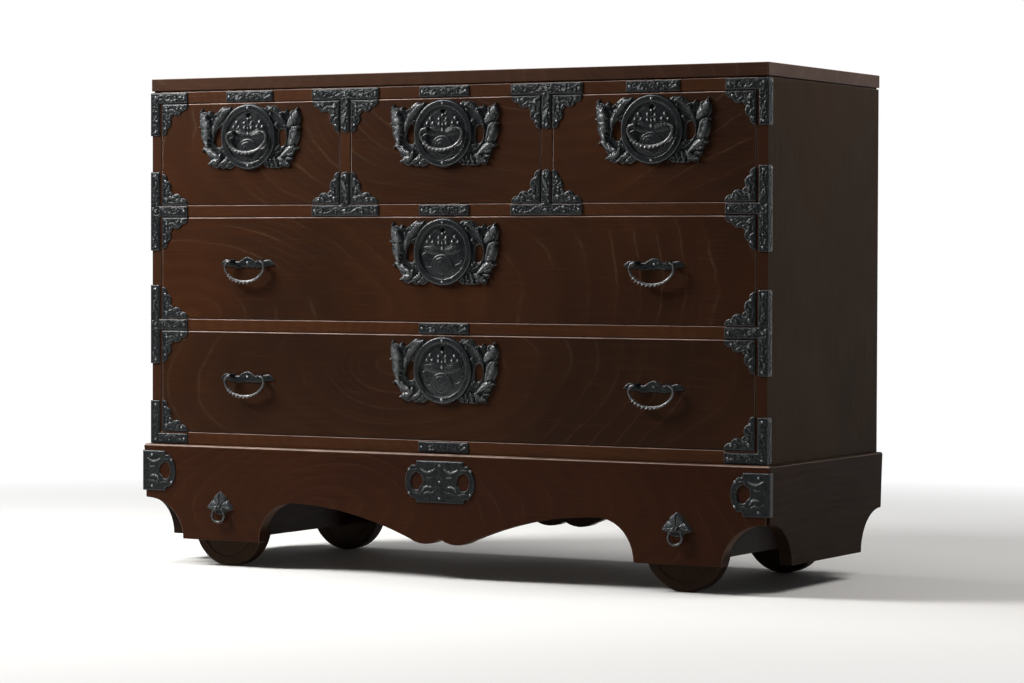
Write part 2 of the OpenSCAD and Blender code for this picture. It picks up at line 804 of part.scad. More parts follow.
notch_x = base_plate_flat / 2 + plate_notch_r;
notch_z = base_plate_h / 2 - plate_notch_r;
module base_plate_outline() {
  difference() {
    intersection() {
      union() {
        square([base_plate_flat, base_plate_h], center = true);
        for (s = [-1, 1])
          translate([s * (base_plate_w / 2 - base_plate_end_r), 0]) circle(r = base_plate_end_r);
      }
      square([base_plate_w + 2, base_plate_h], center = true);
    }
    for (s = [-1, 1]) {
      translate([s * leaf_x, -leaf_h / 2]) rotate(s * leaf_tilt) leaf(leaf_h, leaf_w);
      for (t = [-1, 1]) translate([s * notch_x, t * notch_z]) circle(r = plate_notch_r);
    }
  }
}

module centre_base_plate() {
  front_plate(-base_out_front, iron_t) difference() {
    translate([0, base_plate_mid]) base_plate_outline();
    nail_circles(centre_plate_nails);
  }
}

module corner_base_plate() {
  front_plate(-base_out_front, iron_t) difference() {
    intersection() {
      translate([base_half, base_plate_mid]) base_plate_outline();
      translate([0, -base_h]) square([base_half + nudge, base_h]);
    }
    nail_circles(corner_plate_nails);
  }
  difference() {
    translate([base_half, -base_out_front - iron_t, base_plate_mid - base_plate_h / 2])
      cube([iron_t, base_wrap_w + iron_t, base_plate_h]);
    base_wrap_nail_holes();
  }
  for (p = base_wrap_nails)
    translate([base_half + iron_t + seat_gap, p[0] - base_out_front, p[1]])
      rotate([0, 90, 0]) nail(iron_t);
}

// The pivot of a drop ring, at the middle of its wire's top
ring_pivot_z = ring_plate_z;
ring_pivot_y = -base_out_front - ring_out;
eye_bore_r = ring_wire / 2 + ring_play;
eye_r = eye_bore_r + eye_wall;

module ring_plate() {
  front_plate(-base_out_front, iron_t) difference() {
    translate([axle_x, ring_plate_z]) {
      leaf_root = ring_leaf_len / 6;
      for (a = [-ring_leaf_turn, 0, ring_leaf_turn])
        rotate(a) translate([0, -leaf_root]) leaf(ring_leaf_len, ring_leaf_w);
    }
    nail_circles(ring_plate_nails);
  }
  difference() {
    union() {
      translate([axle_x - eye_w / 2, ring_pivot_y, ring_pivot_z - eye_r * 0.8])
        cube([eye_w, ring_out - iron_t + nudge, eye_r * 1.6]);
      translate([axle_x - eye_w / 2, ring_pivot_y, ring_pivot_z]) rotate([0, 90, 0])
        cylinder(r = eye_r, h = eye_w);
    }
    translate([axle_x - eye_w, ring_pivot_y, ring_pivot_z]) rotate([0, 90, 0])
      cylinder(r = eye_bore_r, h = 2 * eye_w);
  }
}

module base_irons() {
  color("#23272b") in_place() {
    centre_base_plate();
    both_sides() {
      corner_base_plate();
      ring_plate();
    }
    front_nails(base_nails, -base_out_front, iron_t);
  }
}

module drop_ring(x) {
  r = (ring_d - ring_wire) / 2;
  color("#2b2f33") in_place()
    translate([x, ring_pivot_y, ring_pivot_z - r]) rotate([90, 0, 0])
      rotate_extrude() translate([r, 0]) circle(d = ring_wire, $fn = 24);
}

module left_drop_ring() {
  drop_ring(-axle_x);
}

module right_drop_ring() {
  drop_ring(axle_x);
}

// Drawers

bolt_mid_y = front_t - lock_t / 2;
key_y = front_t - lock_t;

function keyhole_z(i) = disc_z(i) + keyhole_rise;

// Nail places of one drawer: three at each corner iron, then the escutcheon's
iron_nails_in = drawer_iron_len * [[0.2, 0.2], [0.77, 0.13], [0.14, 0.77]];
function corner_iron_nails(i) = [for (sx = [-1, 1], sz = [-1, 1], p = iron_nails_in)
  [drawer_x(i) + sx * (front_w(i) / 2 - p[0]), front_z(i) + front_h / 2 + sz * (front_h / 2 - p[1])]];
function rim_nails(i) = [for (s = [-1, 1]) [drawer_x(i), disc_z(i) + s * (disc_r - rim_w / 2)]];
function scroll_nails(i) = [for (s = [-1, 1], n = [1, 3])
  [drawer_x(i) + s * scroll_back[n][0], disc_z(i) + scroll_back[n][1]]];
function bail_plate_nails(i) = is_small(i) ? []
  : [for (s = [-1, 1]) [s * wide_bail_x, wide_bail_z(i) + bail_hump_rise]];

module drawer_front(i) {
  w = front_w(i);
  color("#4b2817") in_place() difference() {
    translate([drawer_x(i) - w / 2, 0, front_z(i)]) cube([w, front_t, front_h]);
    translate([drawer_x(i) - lock_w / 2, key_y, front_top(i) - lock_h])
      cube([lock_w, lock_t + 1, lock_h + 1]);
    translate([drawer_x(i), -1, keyhole_z(i)]) rotate([-90, 0, 0])
      cylinder(d = keyhole_d, h = front_t);
    front_nail_holes(corner_iron_nails(i), 0);
    front_nail_holes(rim_nails(i), 0);
    front_nail_holes(scroll_nails(i), 0);
    front_nail_holes(bail_plate_nails(i), 0);
  }
}

module drawer_box(i) {
  half = front_w(i) / 2;
  box_d = inner_back - stop_gap - front_t;
  inner = 2 * (half - box_side_t - glue_line);
  color("#b08c66") in_place()
    translate([drawer_x(i), front_t + glue_line, opening_z(i) + run_gap]) {
      both_sides() translate([half - box_side_t, 0, 0])
        cube([box_side_t, box_d - glue_line, box_h]);
      translate([-inner / 2, box_d - glue_line - box_back_t, 0]) cube([inner, box_back_t, box_h]);
      translate([-inner / 2, 0, foot_gap - run_gap])
        cube([inner, box_d - box_back_t - 2 * glue_line, box_bottom_t]);
    }
}

// One corner iron with its corner at the origin and two lobes along each arm
module corner_iron_outline() {
  size = drawer_iron_len;
  intersection() {
    square(size);
    for (s = [0, 1]) mirror([s, -s]) {
      square([size * 0.57, size * 0.29]);
      translate([size * 0.57, size * 0.155]) circle(r = size * 0.21);
      square([size * 0.81, size * 0.15]);
      translate([size * 0.81, size * 0.02]) circle(r = size * 0.195);
    }
  }
}

// A bail's own plate: a round hump in the middle and a wing to each side
module bail_plate_outline() {
  hump_r = bail_hump_w / 2;
  tip_r = bail_wing_h / 2;
  translate([0, bail_hump_rise]) scale([1, 0.8]) circle(r = hump_r);
  translate([-hump_r, -bail_wing_h]) square([2 * hump_r, bail_wing_h + bail_hump_rise]);
  both_sides() {
    translate([0, -tip_r]) square([bail_plate_reach - tip_r, bail_wing_h]);
    translate([bail_plate_reach - tip_r, 0]) circle(r = tip_r);
    translate([bail_half - bail_bend, 0]) circle(r = bail_wing_h * 0.75);
  }
}

// A pair of lugs that stand on a plate of thickness base, their bore along X at x and z
module lugs(x, z, base) {
  lug_x = bail_half - bail_bend - lug_side_gap - lug_w / 2;
  neck = lug_d * 0.8;
  for (s = [-1, 1]) difference() {
    union() {
      translate([x + s * lug_x - lug_w / 2, -bail_out, z - neck / 2])
        cube([lug_w, bail_out - base + nudge, neck]);
      translate([x + s * lug_x - lug_w / 2, -bail_out, z]) rotate([0, 90, 0])
        cylinder(d = lug_d, h = lug_w);
    }
    translate([x + s * lug_x - lug_w, -bail_out, z]) rotate([0, 90, 0])
      cylinder(r = bail_pin_d / 2 + bail_play, h = 2 * lug_w);
  }
}

module drawer_irons(i) {
  nails = corner_iron_nails(i);
  color("#23272b") in_place() {
    front_plate(0, iron_t) difference() {
      for (sx = [0, 1], sz = [0, 1])
        translate([drawer_x(i), front_z(i) + front_h / 2])
          mirror([sx, 0]) mirror([0, sz])
            translate([front_w(i) / 2, front_h / 2]) rotate(180) corner_iron_outline();
      nail_circles(nails);
    }
    front_nails(nails, 0, iron_t);
    if (!is_small(i)) {
      for (s = [-1, 1]) {
        front_plate(0, iron_t) difference() {
          translate([s * wide_bail_x, wide_bail_z(i)]) bail_plate_outline();
          nail_circles(bail_plate_nails(i));
        }
        lugs(s * wide_bail_x, wide_bail_z(i), iron_t);
      }
      front_nails(bail_plate_nails(i), 0, iron_t);
    }
  }
}

// Round-ended bars from place to place, each place as [x, z, width]; their straight sides
// stay a little inside their round ends
function at(p, side = [0, 0]) = [p[0], p[1]] + side * p[2] * 0.48;
function normal(p, q) = let (d = at(q) - at(p)) [-d[1], d[0]] / norm(d);
module chain(places) {
  for (p = places) translate(at(p)) circle(d = p[2]);
  for (n = [1:len(places) - 1])
    let (p = places[n - 1], q = places[n], side = normal(p, q))
      polygon([at(p, side), at(q, side), at(q, -side), at(p, -side)]);
}

// The right-hand scroll figure: its back from the head down to the tail, its neck that
// leans on the round plate, and its short spikes
scroll_back = [
  [scroll_reach - 16, 38, 24], [scroll_reach - 17, 16, 20], [scroll_reach - 21, -8, 20],
  [scroll_reach - 31, -30, 22], [scroll_reach - 40, -41, 22], [scroll_reach - 60, -42, 21]
];
scroll_neck = [
  [scroll_reach - 62, 43, 21], [scroll_reach - 49, 38, 20], [scroll_reach - 37, 26, 17],
  [scroll_reach - 27, 8, 14]
];
scroll_spikes = [
  [scroll_reach - 8, 48, 6], [scroll_reach - 26, 45, 7], [scroll_reach - 4, 19, 7],
  [scroll_reach - 12, -20, 9], [scroll_reach - 25, -43, 10]
];
module scroll_outline() {
  chain(scroll_back);
  chain(scroll_neck);
  for (p = scroll_spikes) translate([p[0], p[1]]) circle(d = p[2]);
}

// Half the round plate's section: its field, then the raised rim with its crest
function disc_profile() = let (crest = disc_r - rim_w / 2, shoulder = rim_w * 0.3) [
  [0, 0], [disc_r, 0], [disc_r - 1, rim_h * 0.4], [crest + shoulder, rim_h * 0.8],
  [crest, rim_h], [crest - shoulder, rim_h * 0.8], [disc_r - rim_w, field_h], [0, field_h]
];

module escutcheon(i) {
  z = disc_z(i);
  x = drawer_x(i);
  color("#2a2e32") in_place() {
    difference() {
      union() {
        translate([x, 0, z]) rotate([90, 0, 0]) rotate_extrude($fn = 96) polygon(disc_profile());
        front_plate(0, scroll_t) translate([x, z]) both_sides() difference() {
          scroll_outline();
          circle(r = disc_r - rim_w / 2);
        }
      }
      translate([x, -rim_h - 1, keyhole_z(i)]) rotate([-90, 0, 0])
        cylinder(d = keyhole_d, h = rim_h + 2);
      front_nail_holes(rim_nails(i), 0);
      front_nail_holes(scroll_nails(i), 0);
    }
    front_nails(rim_nails(i), 0, rim_h);
    front_nails(scroll_nails(i), 0, scroll_t);
    if (is_small(i)) lugs(x, z + disc_bail_rise, field_h);
  }
}

module lock_case(i) {
  channel_w = bolt_w + 2 * bolt_gap;
  channel_t = bolt_t + 2 * bolt_gap;
  channel_h = bolt_len + run_gap + bolt_gap;
  color("#6d6a60") in_place() translate([drawer_x(i), 0, front_top(i)]) difference() {
    translate([-lock_w / 2, key_y, -lock_h]) cube([lock_w, lock_t, lock_h]);
    translate([-channel_w / 2, bolt_mid_y - channel_t / 2, -channel_h])
      cube([channel_w, channel_t, channel_h + 1]);
    translate([0, key_y - 1, keyhole_z(i) - front_top(i)]) rotate([-90, 0, 0])
      cylinder(d = keyhole_d, h = lock_t / 2 + 1);
  }
}

module lock_bolt(i) {
  notch = 6;
  color("#b79a5b") in_place() translate([drawer_x(i), bolt_mid_y, front_top(i) - run_gap])
    difference() {
      translate([-bolt_w / 2, -bolt_t / 2, -bolt_len]) cube([bolt_w, bolt_t, bolt_len]);
      translate([-notch / 2, -bolt_t, -bolt_len - 1]) cube([notch, 2 * bolt_t, notch + 1]);
    }
}

// Bails

// Stations along a bail from its left pin to its right one: place, then outward direction
bail_half = bail_w / 2;
function bend_stations(side, angles) = [for (a = angles)
  [side * (bail_half - bail_bend + bail_bend * sin(a)), bail_bend * (cos(a) - 1),
   side * sin(a), cos(a)]];
function curve_station(s, a, b) = let (n = norm([b * cos(s), a * sin(s)]))
  [a * cos(s), -bail_bend - b * sin(s), b * cos(s) / n, -a * sin(s) / n];
bail_stations = concat(
  bend_stations(-1, [0:22.5:67.5]),
  [for (s = [180:-10:0]) curve_station(s, bail_half, bail_drop - bail_bend)],
  bend_stations(1, [67.5:-22.5:0]));

// A bar of round section through all stations, thickest at the bail's lowest point
module bail_bar() {
  sides = 8;
  rings = len(bail_stations);
  points = [for (k = bail_stations, j = [0:sides - 1])
    let (a = 360 * (j + 0.5) / sides, r = bail_d / 2 * (1 - 0.12 * k[3]))
    [k[0] + r * cos(a) * k[2], r * sin(a), k[1] + r * cos(a) * k[3]]];
  skin = [for (n = [0:rings - 2], j = [0:sides - 1])
    let (p = n * sides + j, q = n * sides + (j + 1) % sides)
    each [[p, q + sides, q], [p, p + sides, q + sides]]];
  last = (rings - 1) * sides;
  caps = [for (j = [1:sides - 2]) each [[0, j, j + 1], [last, last + j + 1, last + j]]];
  polyhedron(points, concat(skin, caps));
}

module bail(x, z) {
  pin_in = bail_half - bail_bend - lug_w - 2 * lug_side_gap;
  color("#2b2f33") in_place() translate([x, -bail_out, z]) {
    bail_bar();
    both_sides() translate([pin_in, 0, 0]) rotate([0, 90, 0])
      cylinder(d = bail_pin_d, h = bail_half - bail_bend - pin_in + 1);
  }
}

module disc_bail(i) {
  bail(drawer_x(i), disc_z(i) + disc_bail_rise);
}

module wide_bail(i, side) {
  bail(side * wide_bail_x, wide_bail_z(i));
}

top_board();
left_side_panel();
right_side_panel();
back_panel();
bottom_board();
front_rails();
dividers();
shelf_boards();
base_front_apron();
base_back_apron();
base_side_aprons();
base_blocks_and_bearers();
axles();
axle_washers();
axle_pins();
case_irons();
base_irons();
left_drop_ring();
right_drop_ring();
front_left_wheel();
front_right_wheel();
back_left_wheel();
back_right_wheel();
drawer_front(LEFT);  // left_drawer_front
drawer_box(LEFT);  // left_drawer_box
drawer_irons(LEFT);  // left_drawer_irons
escutcheon(LEFT);  // left_drawer_escutcheon
lock_case(LEFT);  // left_drawer_lock_case
lock_bolt(LEFT);  // left_drawer_lock_bolt
disc_bail(LEFT);  // left_drawer_bail
drawer_front(CENTRE);  // centre_drawer_front
drawer_box(CENTRE);  // centre_drawer_box
drawer_irons(CENTRE);  // centre_drawer_irons
escutcheon(CENTRE);  // centre_drawer_escutcheon
lock_case(CENTRE);  // centre_drawer_lock_case
lock_bolt(CENTRE);  // centre_drawer_lock_bolt
disc_bail(CENTRE);  // centre_drawer_bail
drawer_front(RIGHT);  // right_drawer_front
drawer_box(RIGHT);  // right_drawer_box
drawer_irons(RIGHT);  // right_drawer_irons
escutcheon(RIGHT);  // right_drawer_escutcheon
lock_case(RIGHT);  // right_drawer_lock_case
lock_bolt(RIGHT);  // right_drawer_lock_bolt
disc_bail(RIGHT);  // right_drawer_bail
drawer_front(MIDDLE);  // middle_drawer_front
drawer_box(MIDDLE);  // middle_drawer_box
drawer_irons(MIDDLE);  // middle_drawer_irons
escutcheon(MIDDLE);  // middle_drawer_escutcheon
lock_case(MIDDLE);  // middle_drawer_lock_case
lock_bolt(MIDDLE);  // middle_drawer_lock_bolt
wide_bail(MIDDLE, -1);  // middle_drawer_left_bail
wide_bail(MIDDLE, 1);  // middle_drawer_right_bail
drawer_front(BOTTOM);  // bottom_drawer_front
drawer_box(BOTTOM);  // bottom_drawer_box
drawer_irons(BOTTOM);  // bottom_drawer_irons
escutcheon(BOTTOM);  // bottom_drawer_escutcheon
lock_case(BOTTOM);  // bottom_drawer_lock_case
lock_bolt(BOTTOM);  // bottom_drawer_lock_bolt
wide_bail(BOTTOM, -1);  // bottom_drawer_left_bail
wide_bail(BOTTOM, 1);  // bottom_drawer_right_bail
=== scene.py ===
import functools
import json
import math

import bmesh
import bpy
import numpy as np
from mathutils import Matrix, Vector


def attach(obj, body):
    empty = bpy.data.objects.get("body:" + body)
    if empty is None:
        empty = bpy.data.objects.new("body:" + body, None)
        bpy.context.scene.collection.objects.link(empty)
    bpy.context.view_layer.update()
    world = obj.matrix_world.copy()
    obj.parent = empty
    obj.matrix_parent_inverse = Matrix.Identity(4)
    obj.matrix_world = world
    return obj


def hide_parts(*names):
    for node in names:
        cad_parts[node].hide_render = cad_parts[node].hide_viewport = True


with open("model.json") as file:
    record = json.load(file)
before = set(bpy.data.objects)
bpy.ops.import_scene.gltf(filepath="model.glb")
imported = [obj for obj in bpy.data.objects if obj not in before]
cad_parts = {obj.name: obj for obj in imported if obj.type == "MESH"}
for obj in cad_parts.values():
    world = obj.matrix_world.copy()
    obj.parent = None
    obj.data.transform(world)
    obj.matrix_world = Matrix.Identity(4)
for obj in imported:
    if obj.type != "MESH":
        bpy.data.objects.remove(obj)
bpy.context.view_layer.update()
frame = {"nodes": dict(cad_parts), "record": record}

# Sizes in millimetres on the chest's front: x from the middle, z above the base's top,
# h outwards from the front of the case. The case and its openings:

FRONT_Y = -214.8
BASE_TOP_Z = 212.0
HALF_W = 600.0
OPENING_H = 180.0
RAIL_H = 20.0
BOTTOM_RAIL_H = 22.0
ROW_PITCH = OPENING_H + RAIL_H
TOP_ROW_Z = BOTTOM_RAIL_H + 2 * ROW_PITCH
WIDE_W = 1160.0
DIVIDER_W = 20.0
SMALL_W = (WIDE_W - 2 * DIVIDER_W) / 3
SMALL_X = SMALL_W + DIVIDER_W
# Each drawer's opening: x of its middle, z of its foot, width
DRAWERS = {
    "left": (-SMALL_X, TOP_ROW_Z, SMALL_W),
    "centre": (0.0, TOP_ROW_Z, SMALL_W),
    "right": (SMALL_X, TOP_ROW_Z, SMALL_W),
    "middle": (0.0, BOTTOM_RAIL_H + ROW_PITCH, WIDE_W),
    "bottom": (0.0, BOTTOM_RAIL_H, WIDE_W),
}
FRONT_GAP = 1.25
FOOT_GAP = 1.0

# Irons of the case and the drawers: a sheet's wall ends below the wood at its foot, and
# the side irons' flanges reach back round the corner

PLATE = 2.0
SHEET_FOOT = -0.3
IRON_ARM = 76.0
STILE_W = 19.25
STILE_ARM = STILE_W - 2.8
RAIL_BAR = 18.5
SIDE_TEE_H = 139.0
DIVIDER_TEE_W = 136.0
RAIL_PLATE_LEN = 98.0
TOP_EDGE = BOTTOM_RAIL_H + 3 * ROW_PITCH - 0.75
LOW_EDGE = 0.75
NAIL_IN = 7
FLANGE = 14
FLANGE_NAIL = 8.4
DRAWER_IRON = 55.0
DRAWER_IRON_TOP = 1.7

# Lock plates and bails: the field is the disc inside its rim ring

DISC_R = 57.5
FIELD_R = 43
RIM_H = 6.9
DISC_NAIL = 50.2
DISC_BELOW_EDGE = 2
KEYHOLE_Z = 37
KEYHOLE_R = 4.6
BAIL_OUT = 11.0
BAIL_HALF = 40.5
BAIL_DROP = 35.0
BAIL_BEND = 8.0
LUG_X = 29.0
BEAD_ROW_HALF = 39.0
WIDE_BAIL_X = 397.0
WIDE_BAIL_RISE = 11.5
DISC_BAIL_RISE = 7.5

# Irons of the base, and the drop rings about their pivots

BASE_OUT = 11.5
BASE_HALF = 609.5
BASE_PLATE_Z = -47.0
BASE_PLATE_HALF_H = 35.5
AXLE_X = 446.0
RING_PLATE_Z = -108.0
RING_R = 12.5
RING_OUT = 19.5


def is_small(name):
    return name in ("left", "centre", "right")


def disc_z(name):
    return DRAWERS[name][1] + OPENING_H - FRONT_GAP - DISC_BELOW_EDGE - DISC_R


def bail_z(name):
    """Height of a wide drawer's bail pivots."""
    return DRAWERS[name][1] + OPENING_H / 2 + WIDE_BAIL_RISE


def rail_mid(k):
    return BOTTOM_RAIL_H + k * ROW_PITCH - RAIL_H / 2


def to_frame(points):
    """Millimetres (x, outwards, z) on the front to metres in the shared frame."""
    points = np.asarray(points, dtype=float)
    return np.stack([points[:, 0], FRONT_Y - points[:, 1], points[:, 2] + BASE_TOP_Z], axis=1) / 1000


def linked(name, data):
    """A new object in the scene."""
    thing = bpy.data.objects.new(name, data)
    bpy.context.scene.collection.objects.link(thing)
    return thing


# Outlines and reliefs, as functions of two arrays: inside is positive, in millimetres


def highest(*forms):
    """The highest of several reliefs, or the union of several outlines."""
    return functools.reduce(np.maximum, forms)


def box_in(x, z, x0, x1, z0, z1, r=0.0):
    qx = np.abs(x - (x0 + x1) / 2) - ((x1 - x0) / 2 - r)
    qz = np.abs(z - (z0 + z1) / 2) - ((z1 - z0) / 2 - r)
    return r - np.hypot(np.maximum(qx, 0), np.maximum(qz, 0)) - np.minimum(np.maximum(qx, qz), 0)


def disc_in(x, z, cx, cz, r):
    return r - np.hypot(x - cx, z - cz)


def chain_in(x, z, stations):
    """How far across round-ended bars through (x, z, width) stations each point is:
    0 at a bar's middle line and 1 at its side."""
    across = np.full(x.shape, 9.0)
    for (px, pz, pw), (qx, qz, qw) in zip(stations[:-1], stations[1:]):
        vx, vz = qx - px, qz - pz
        t = np.clip(((x - px) * vx + (z - pz) * vz) / (vx * vx + vz * vz), 0, 1)
        d = np.hypot(x - px - t * vx, z - pz - t * vz)
        across = np.minimum(across, d / ((pw + (qw - pw) * t) / 2))
    return across


def polygon_in(x, z, corners, rounds=2):
    """Distance inside a closed outline whose corners are cut round."""
    points = np.array(corners, float)
    for _ in range(rounds):
        after = np.roll(points, -1, 0)
        cuts = [0.75 * points + 0.25 * after, 0.25 * points + 0.75 * after]
        points = np.stack(cuts, 1).reshape(-1, 2)
    far = np.full(x.shape, 1e9)
    odd = np.zeros(x.shape, bool)
    for (px, pz), (qx, qz) in zip(points, np.roll(points, -1, 0)):
        vx, vz = qx - px, qz - pz
        t = np.clip(((x - px) * vx + (z - pz) * vz) / (vx * vx + vz * vz + 1e-12), 0, 1)
        far = np.minimum(far, np.hypot(x - px - t * vx, z - pz - t * vz))
        if pz != qz:
            odd ^= ((pz > z) != (qz > z)) & (x < px + (z - pz) * vx / (qz - pz))
    return np.where(odd, far, -far)


def dome(across, power):
    return np.clip(1 - across * across, 0, 1) ** power


def ridge(x, z, stations, height, power=0.7):
    return height * dome(chain_in(x, z, stations), power)


def knob(x, z, cx, cz, r, height, power):
    return height * dome(np.hypot(x - cx, z - cz) / r, power)


def line_at(d, place, width):
    """1 along the line where d is place, fading away over width to both its sides."""
    return np.exp(-((d - place) / width) ** 2)


def leaf(x, z, cx, cz, turn, length, width, height, crease=0.5, fan=0):
    """A pointed leaf from its foot at (cx, cz), domed to both sides of its vein."""
    c, s = math.cos(math.radians(turn)), math.sin(math.radians(turn))
    u, v = ((x - cx) * c + (z - cz) * s) / length, (z - cz) * c - (x - cx) * s
    t = np.clip(u, 0, 1)
    half = width / 2 * np.sin(np.pi * t ** 0.8) ** 0.75
    inside = (u > 0) & (u < 1)
    across = np.where(inside, np.abs(v) / np.maximum(half, 0.05), 9)
    h = height * dome(across, 0.6) * (1 - crease * np.exp(-(v / 0.8) ** 2))
    if fan:
        h = h * (1 + 0.16 * np.cos(2 * np.pi * fan * (t + 0.35 * np.abs(v) / width)))
    return np.where(across < 1, h, 0)


def mottle(x, z, cell, seed):
    """Smooth random bumps about one cell apart, between -1 and 1."""
    table = np.random.default_rng(seed).uniform(-1, 1, (64, 64))
    u, v = x / cell, z / cell
    i, j = np.floor(u).astype(int), np.floor(v).astype(int)
    fu, fv = u - i, v - j
    fu, fv = fu * fu * (3 - 2 * fu), fv * fv * (3 - 2 * fv)
    low = table[i % 64, j % 64] * (1 - fu) + table[(i + 1) % 64, j % 64] * fu
    high = table[i % 64, (j + 1) % 64] * (1 - fu) + table[(i + 1) % 64, (j + 1) % 64] * fu
    return low * (1 - fv) + high * fv


def roll(off, soft=2.6, sharp=0.6):
    """A rolling wave across a line: steep on its near side, fading away on the other."""
    return np.where(off > 0, np.exp(-np.maximum(off, 0) / soft), np.exp(np.minimum(off, 0) / sharp))


def bevel(d, edge, top, width):
    """Plate thickness: edge at its border, rounding up to top over width."""
    return edge + (top - edge) * np.sqrt(1 - (1 - np.clip(d / width, 0, 1)) ** 2)


def drawn_to_edge(outline, x, z, cell):
    """Points close to the outline, moved onto it by less than a cell."""
    px, pz = x, z
    e = 0.04 * cell
    for _ in range(5):
        off = outline(px, pz)
        gx = (outline(px + e, pz) - outline(px - e, pz)) / (2 * e)
        gz = (outline(px, pz + e) - outline(px, pz - e)) / (2 * e)
        g = np.maximum(gx * gx + gz * gz, 0.1)
        px, pz = px - off * gx / g, pz - off * gz / g
        far = np.hypot(px - x, pz - z)
        pull = np.minimum(1, 0.75 * cell / np.maximum(far, 1e-6))
        px, pz = x + (px - x) * pull, z + (pz - z) * pull
    return px, pz


def open_edges(quads, tris, count):
    """The edges that only one face has, in that face's direction."""
    edges = np.concatenate([np.stack([f, np.roll(f, -1, 1)], -1).reshape(-1, 2) for f in (quads, tris)])
    ends = np.sort(edges, 1)
    _, first, uses = np.unique(ends[:, 0] * count + ends[:, 1], return_index=True, return_counts=True)
    return edges[first[uses == 1]]


def patch(outline, height, x0, x1, z0, z1, cell):
    """A relief sheet cut along its outline with a wall down to its foot:
    points (x, h, z), quads and triangles, and each point's mark for rubbed bright places and painted
    highlight."""
    nx, nz = math.ceil((x1 - x0) / cell), math.ceil((z1 - z0) / cell)
    x, z = np.meshgrid(np.linspace(x0, x1, nx + 1), np.linspace(z0, z1, nz + 1))
    near = np.abs(outline(x, z)) < 0.6 * cell
    x[near], z[near] = drawn_to_edge(outline, x[near], z[near], cell)
    d = outline(x, z)
    h, raised = height(x, z, np.maximum(d, 0))

    kept = (d > -0.12 * cell).ravel()
    index = np.arange(x.size).reshape(x.shape)
    cells = np.stack([index[:-1, :-1], index[:-1, 1:], index[1:, 1:], index[1:, :-1]], -1).reshape(-1, 4)
    inside = kept[cells]
    quads = cells[inside.all(1)]
    three = inside.sum(1) == 3
    tris = cells[three][inside[three]].reshape(-1, 3)
    used = np.zeros(x.size, bool)
    used[quads.ravel()] = True
    used[tris.ravel()] = True
    new = np.cumsum(used) - 1
    quads, tris = new[quads], new[tris]
    points = np.stack([x.ravel(), z.ravel(), h.ravel()], 1)[used]
    raised = raised.ravel()[used]

    rim = open_edges(quads, tris, len(points)).ravel()
    feet = points[rim].copy()
    feet[:, 2] = SHEET_FOOT
    a = len(points) + np.arange(0, len(rim), 2)
    wall = np.stack([a + 1, a, a + len(rim), a + len(rim) + 1], 1)
    points = np.concatenate([points, points[rim], feet])
    raised = np.concatenate([raised, raised[rim], np.zeros(len(rim))])
    return points, [quads, tris, wall], raised


def tube(rings, sides):
    """Quads between neighbouring rings of points."""
    j = np.arange(sides)
    k = (j + 1) % sides
    first = np.stack([j, k, k + sides, j + sides], 1)
    return np.concatenate([first + n * sides for n in range(rings - 1)])


def fan(start, sides, tip):
    """Triangles between a ring of points and its tip."""
    j = np.arange(sides)
    return np.stack([start + j, start + (j + 1) % sides, np.full(sides, tip)], 1)


